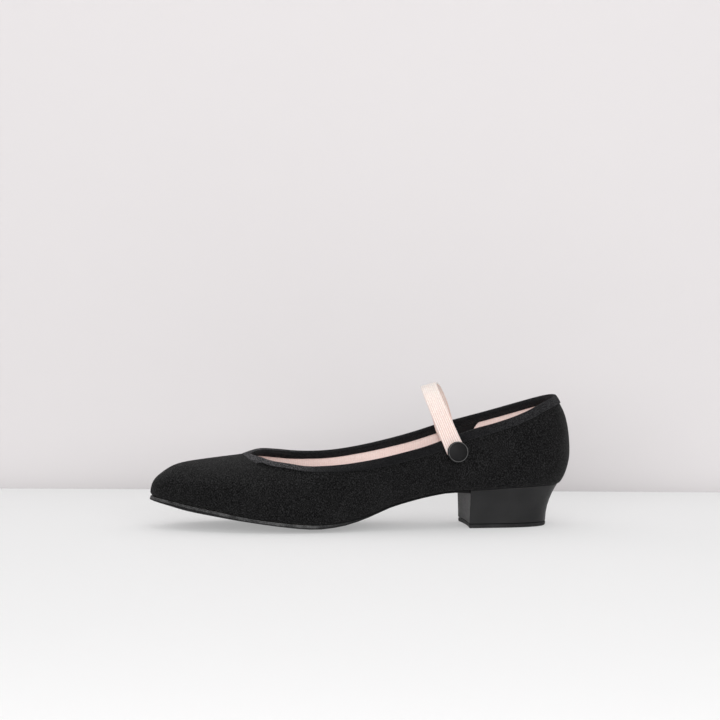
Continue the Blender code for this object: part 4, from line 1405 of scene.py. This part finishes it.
@dataclass
class HeelStack:
    """The covered heel and the wear piece under it."""

    cover_edge: float = 0.0009
    tip_edge: float = 0.0004
    edge_faces: int = 4
    edge_angle: float = 45.0
    # The width of the band of painted shadow below the heel's rim.
    seam: float = 0.0007
    steep: float = 0.6
    rim_above: float = 0.018

    def build(self) -> list[bpy.types.Object]:
        """Makes the two pieces.

        Returns:
            Their objects.
        """
        parts = (
            ("heel_block", "covered_heel", HEEL_COVER, "covered_heel", self.cover_edge),
            ("top_piece", "heel_wear_piece", TIP_RUBBER, "top_piece_rubber", self.tip_edge),
        )
        made = []
        for node, name, finish, slot, width in parts:
            form = quads_of(node)
            if node == "heel_block":
                self.paint_rim_shadow(form)
            # The second slot's black rubber paints the shadow band along the heel's rim.
            piece = finished(name, form, (finish.make(), SOLE_RUBBER.make()), node)
            round_edges(piece, width, self.edge_faces, self.edge_angle)
            made.append(piece)
        return made

    def paint_rim_shadow(self, form: bmesh.types.BMesh) -> None:
        """Paints a black band of shadow along the heel's upper rim, under the upper's edge.

        Args:
            form: the heel's shape.
        """
        centre = sum((vert.co for vert in form.verts), Vector()) / len(form.verts)
        outer = {
            face for face in form.faces if abs(face.normal.z) < self.steep
            and (face.calc_center_median() - centre).xy.dot(face.normal.xy) > 0.0
        }
        rim = {
            vert for edge in form.edges if len(outer.intersection(edge.link_faces)) == 1
            and min(vert.co.z for vert in edge.verts) > self.rim_above for vert in edge.verts
        }
        posts = [
            edge for edge in form.edges if outer.intersection(edge.link_faces)
            and len(rim.intersection(edge.verts)) == 1
        ]
        made = bmesh.ops.subdivide_edges(form, edges=posts, cuts=1, use_grid_fill=False)
        for vert in {item for item in made["geom_inner"] if isinstance(item, bmesh.types.BMVert)}:
            for above in rim.intersection(edge.other_vert(vert) for edge in vert.link_edges):
                vert.co = above.co + (vert.co - above.co).normalized() * self.seam
        for face in form.faces:
            at_rim = len(rim.intersection(face.verts)) > 1 and face.calc_center_median().z > self.rim_above
            if at_rim and abs(face.normal.z) < self.steep:
                face.material_index = 1


@dataclass(frozen=True)
class Viewpoint:
    """Where the photograph was taken from."""

    azimuth: float = math.radians(8.122)
    elevation: float = math.radians(3.609)
    roll: float = math.radians(0.309)
    distance: float = 2.0
    lens: float = 168.75
    sensor: float = 36.0
    farthest: float = 50.0
    target: tuple[float, float, float] = (0.001106, -0.001, 0.098551)

    def back(self) -> Vector:
        """The direction from the target to the camera."""
        flat = math.cos(self.elevation)
        forward, outward = math.sin(self.azimuth), math.cos(self.azimuth)
        return Vector((forward * flat, outward * flat, math.sin(self.elevation)))

    def place(self) -> Matrix:
        """The camera's place and turn.

        Returns:
            Both as one matrix.
        """
        back = self.back()
        level = Vector((-math.cos(self.azimuth), math.sin(self.azimuth), 0.0))
        upright = back.cross(level)
        right = level * math.cos(self.roll) + upright * math.sin(self.roll)
        up = upright * math.cos(self.roll) - level * math.sin(self.roll)
        place = Matrix((right, up, back)).transposed().to_4x4()
        place.translation = Vector(self.target) + back * self.distance
        return place


@dataclass(frozen=True)
class Softbox:
    """One rectangular light."""

    name: str
    place: tuple[float, float, float]
    aim: tuple[float, float, float]
    size: tuple[float, float]
    power: float
    colour: Colour = WHITE

    def hang(self) -> bpy.types.Object:
        """Adds the light to the scene.

        Returns:
            The light's object.
        """
        light = bpy.data.lights.new(self.name, "AREA")
        light.shape = "RECTANGLE"
        light.size, light.size_y = self.size
        light.energy = self.power
        light.color = self.colour
        lamp = bpy.data.objects.new(self.name, light)
        bpy.context.scene.collection.objects.link(lamp)
        way = Vector(self.aim) - Vector(self.place)
        lamp.matrix_world = way.to_track_quat("-Z", "Y").to_matrix().to_4x4()
        lamp.location = self.place
        return lamp


@dataclass
class Studio:
    """The paper sweep, the lights and the camera."""

    view: Viewpoint = field(default_factory=Viewpoint)
    floor_reach: float = 6.0
    wall_distance: float = 0.207
    wall_height: float = 3.0
    floor_paper: PaperSweep = PaperSweep("floor_paper", (0.585, 0.585, 0.585), 0.10, 0.10, 0.33)
    wall_paper: PaperSweep = PaperSweep("wall_paper", (0.67, 0.645, 0.65), 0.15, 0.008, front_alone=True)
    ambient: float = 0.40
    softboxes: tuple[Softbox, ...] = (
        Softbox("overhead_softbox", (0.1, 0.6, 1.5), (0.0, 0.1, 0.0), (2.2, 1.6), 5.5),
        Softbox("front_softbox", (0.22, 1.8, 0.48), (0.0, 0.0, 0.05), (2.0, 0.9), 28.0),
    )

    def build(self) -> None:
        """Sets up the stage, lights and camera."""
        self.sweep()
        for box in self.softboxes:
            box.hang()
        self.surroundings()
        camera = bpy.data.objects.new("camera", bpy.data.cameras.new("camera"))
        camera.data.sensor_width = self.view.sensor
        camera.data.lens = self.view.lens
        camera.data.clip_end = self.view.farthest
        camera.matrix_world = self.view.place()
        bpy.context.scene.collection.objects.link(camera)
        bpy.context.scene.camera = camera
        bpy.context.scene.view_settings.view_transform = "Standard"

    def sweep(self) -> None:
        """Makes the floor and the wall that stands on it behind the shoe.

        The floor goes on behind the wall, for the views from that side.
        """
        away = -self.view.back()
        away.z = 0.0
        away.normalize()
        side = Vector((-away.y, away.x, 0.0))
        corner = away * self.wall_distance
        form = bmesh.new()
        front, rear = (corner + away * way * self.floor_reach for way in (-1.0, 1.0))
        spine = [front, corner, corner + Vector((0.0, 0.0, self.wall_height)), rear]
        verts = [form.verts.new(point - side * self.floor_reach) for point in spine]
        edges = [form.edges.new((verts[1], end)) for end in (verts[0], *verts[2:])]
        made = bmesh.ops.extrude_edge_only(form, edges=edges)
        moved = [item for item in made["geom"] if isinstance(item, bmesh.types.BMVert)]
        bmesh.ops.translate(form, verts=moved, vec=side * self.floor_reach * 2.0)
        form.normal_update()
        pattern = form.loops.layers.uv.new(PATTERN_MAP)
        for face in form.faces:
            face.material_index = 0 if face.calc_center_median().z < MERGE else 1
            if face.normal.z - face.normal.dot(away) < 0.0:
                face.normal_flip()
            for loop in face.loops:
                spot = loop.vert.co - corner
                loop[pattern].uv = (spot.dot(side), spot.z + abs(spot.dot(away)))
        mesh = bpy.data.meshes.new("paper_sweep")
        form.to_mesh(mesh)
        form.free()
        mesh.materials.append(self.floor_paper.make())
        mesh.materials.append(self.wall_paper.make())
        sheet = bpy.data.objects.new("paper_sweep", mesh)
        bpy.context.scene.collection.objects.link(sheet)

    def surroundings(self) -> None:
        """Gives the scene an even white surround."""
        world = bpy.data.worlds.new("white_room")
        bpy.context.scene.world = world
        world.use_nodes = True
        light = world.node_tree.nodes["Background"]
        light.inputs["Color"].default_value = (*WHITE, 1.0)
        light.inputs["Strength"].default_value = self.ambient


def main() -> None:
    """Builds the shoe and its studio."""
    logging.basicConfig(level=logging.INFO, format="%(name)s: %(message)s")
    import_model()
    makers = (
        CanvasUpper(), CollarBinding(), InstepStrap(), SnapButton(), AnchorPatch(), LinedInsole(),
        Outsole(), HeelStack(),
    )
    for maker in makers:
        maker.build()
        LOG.info("%s is in place", type(maker).__name__)
    Studio().build()


if __name__ == "__main__":
    main()
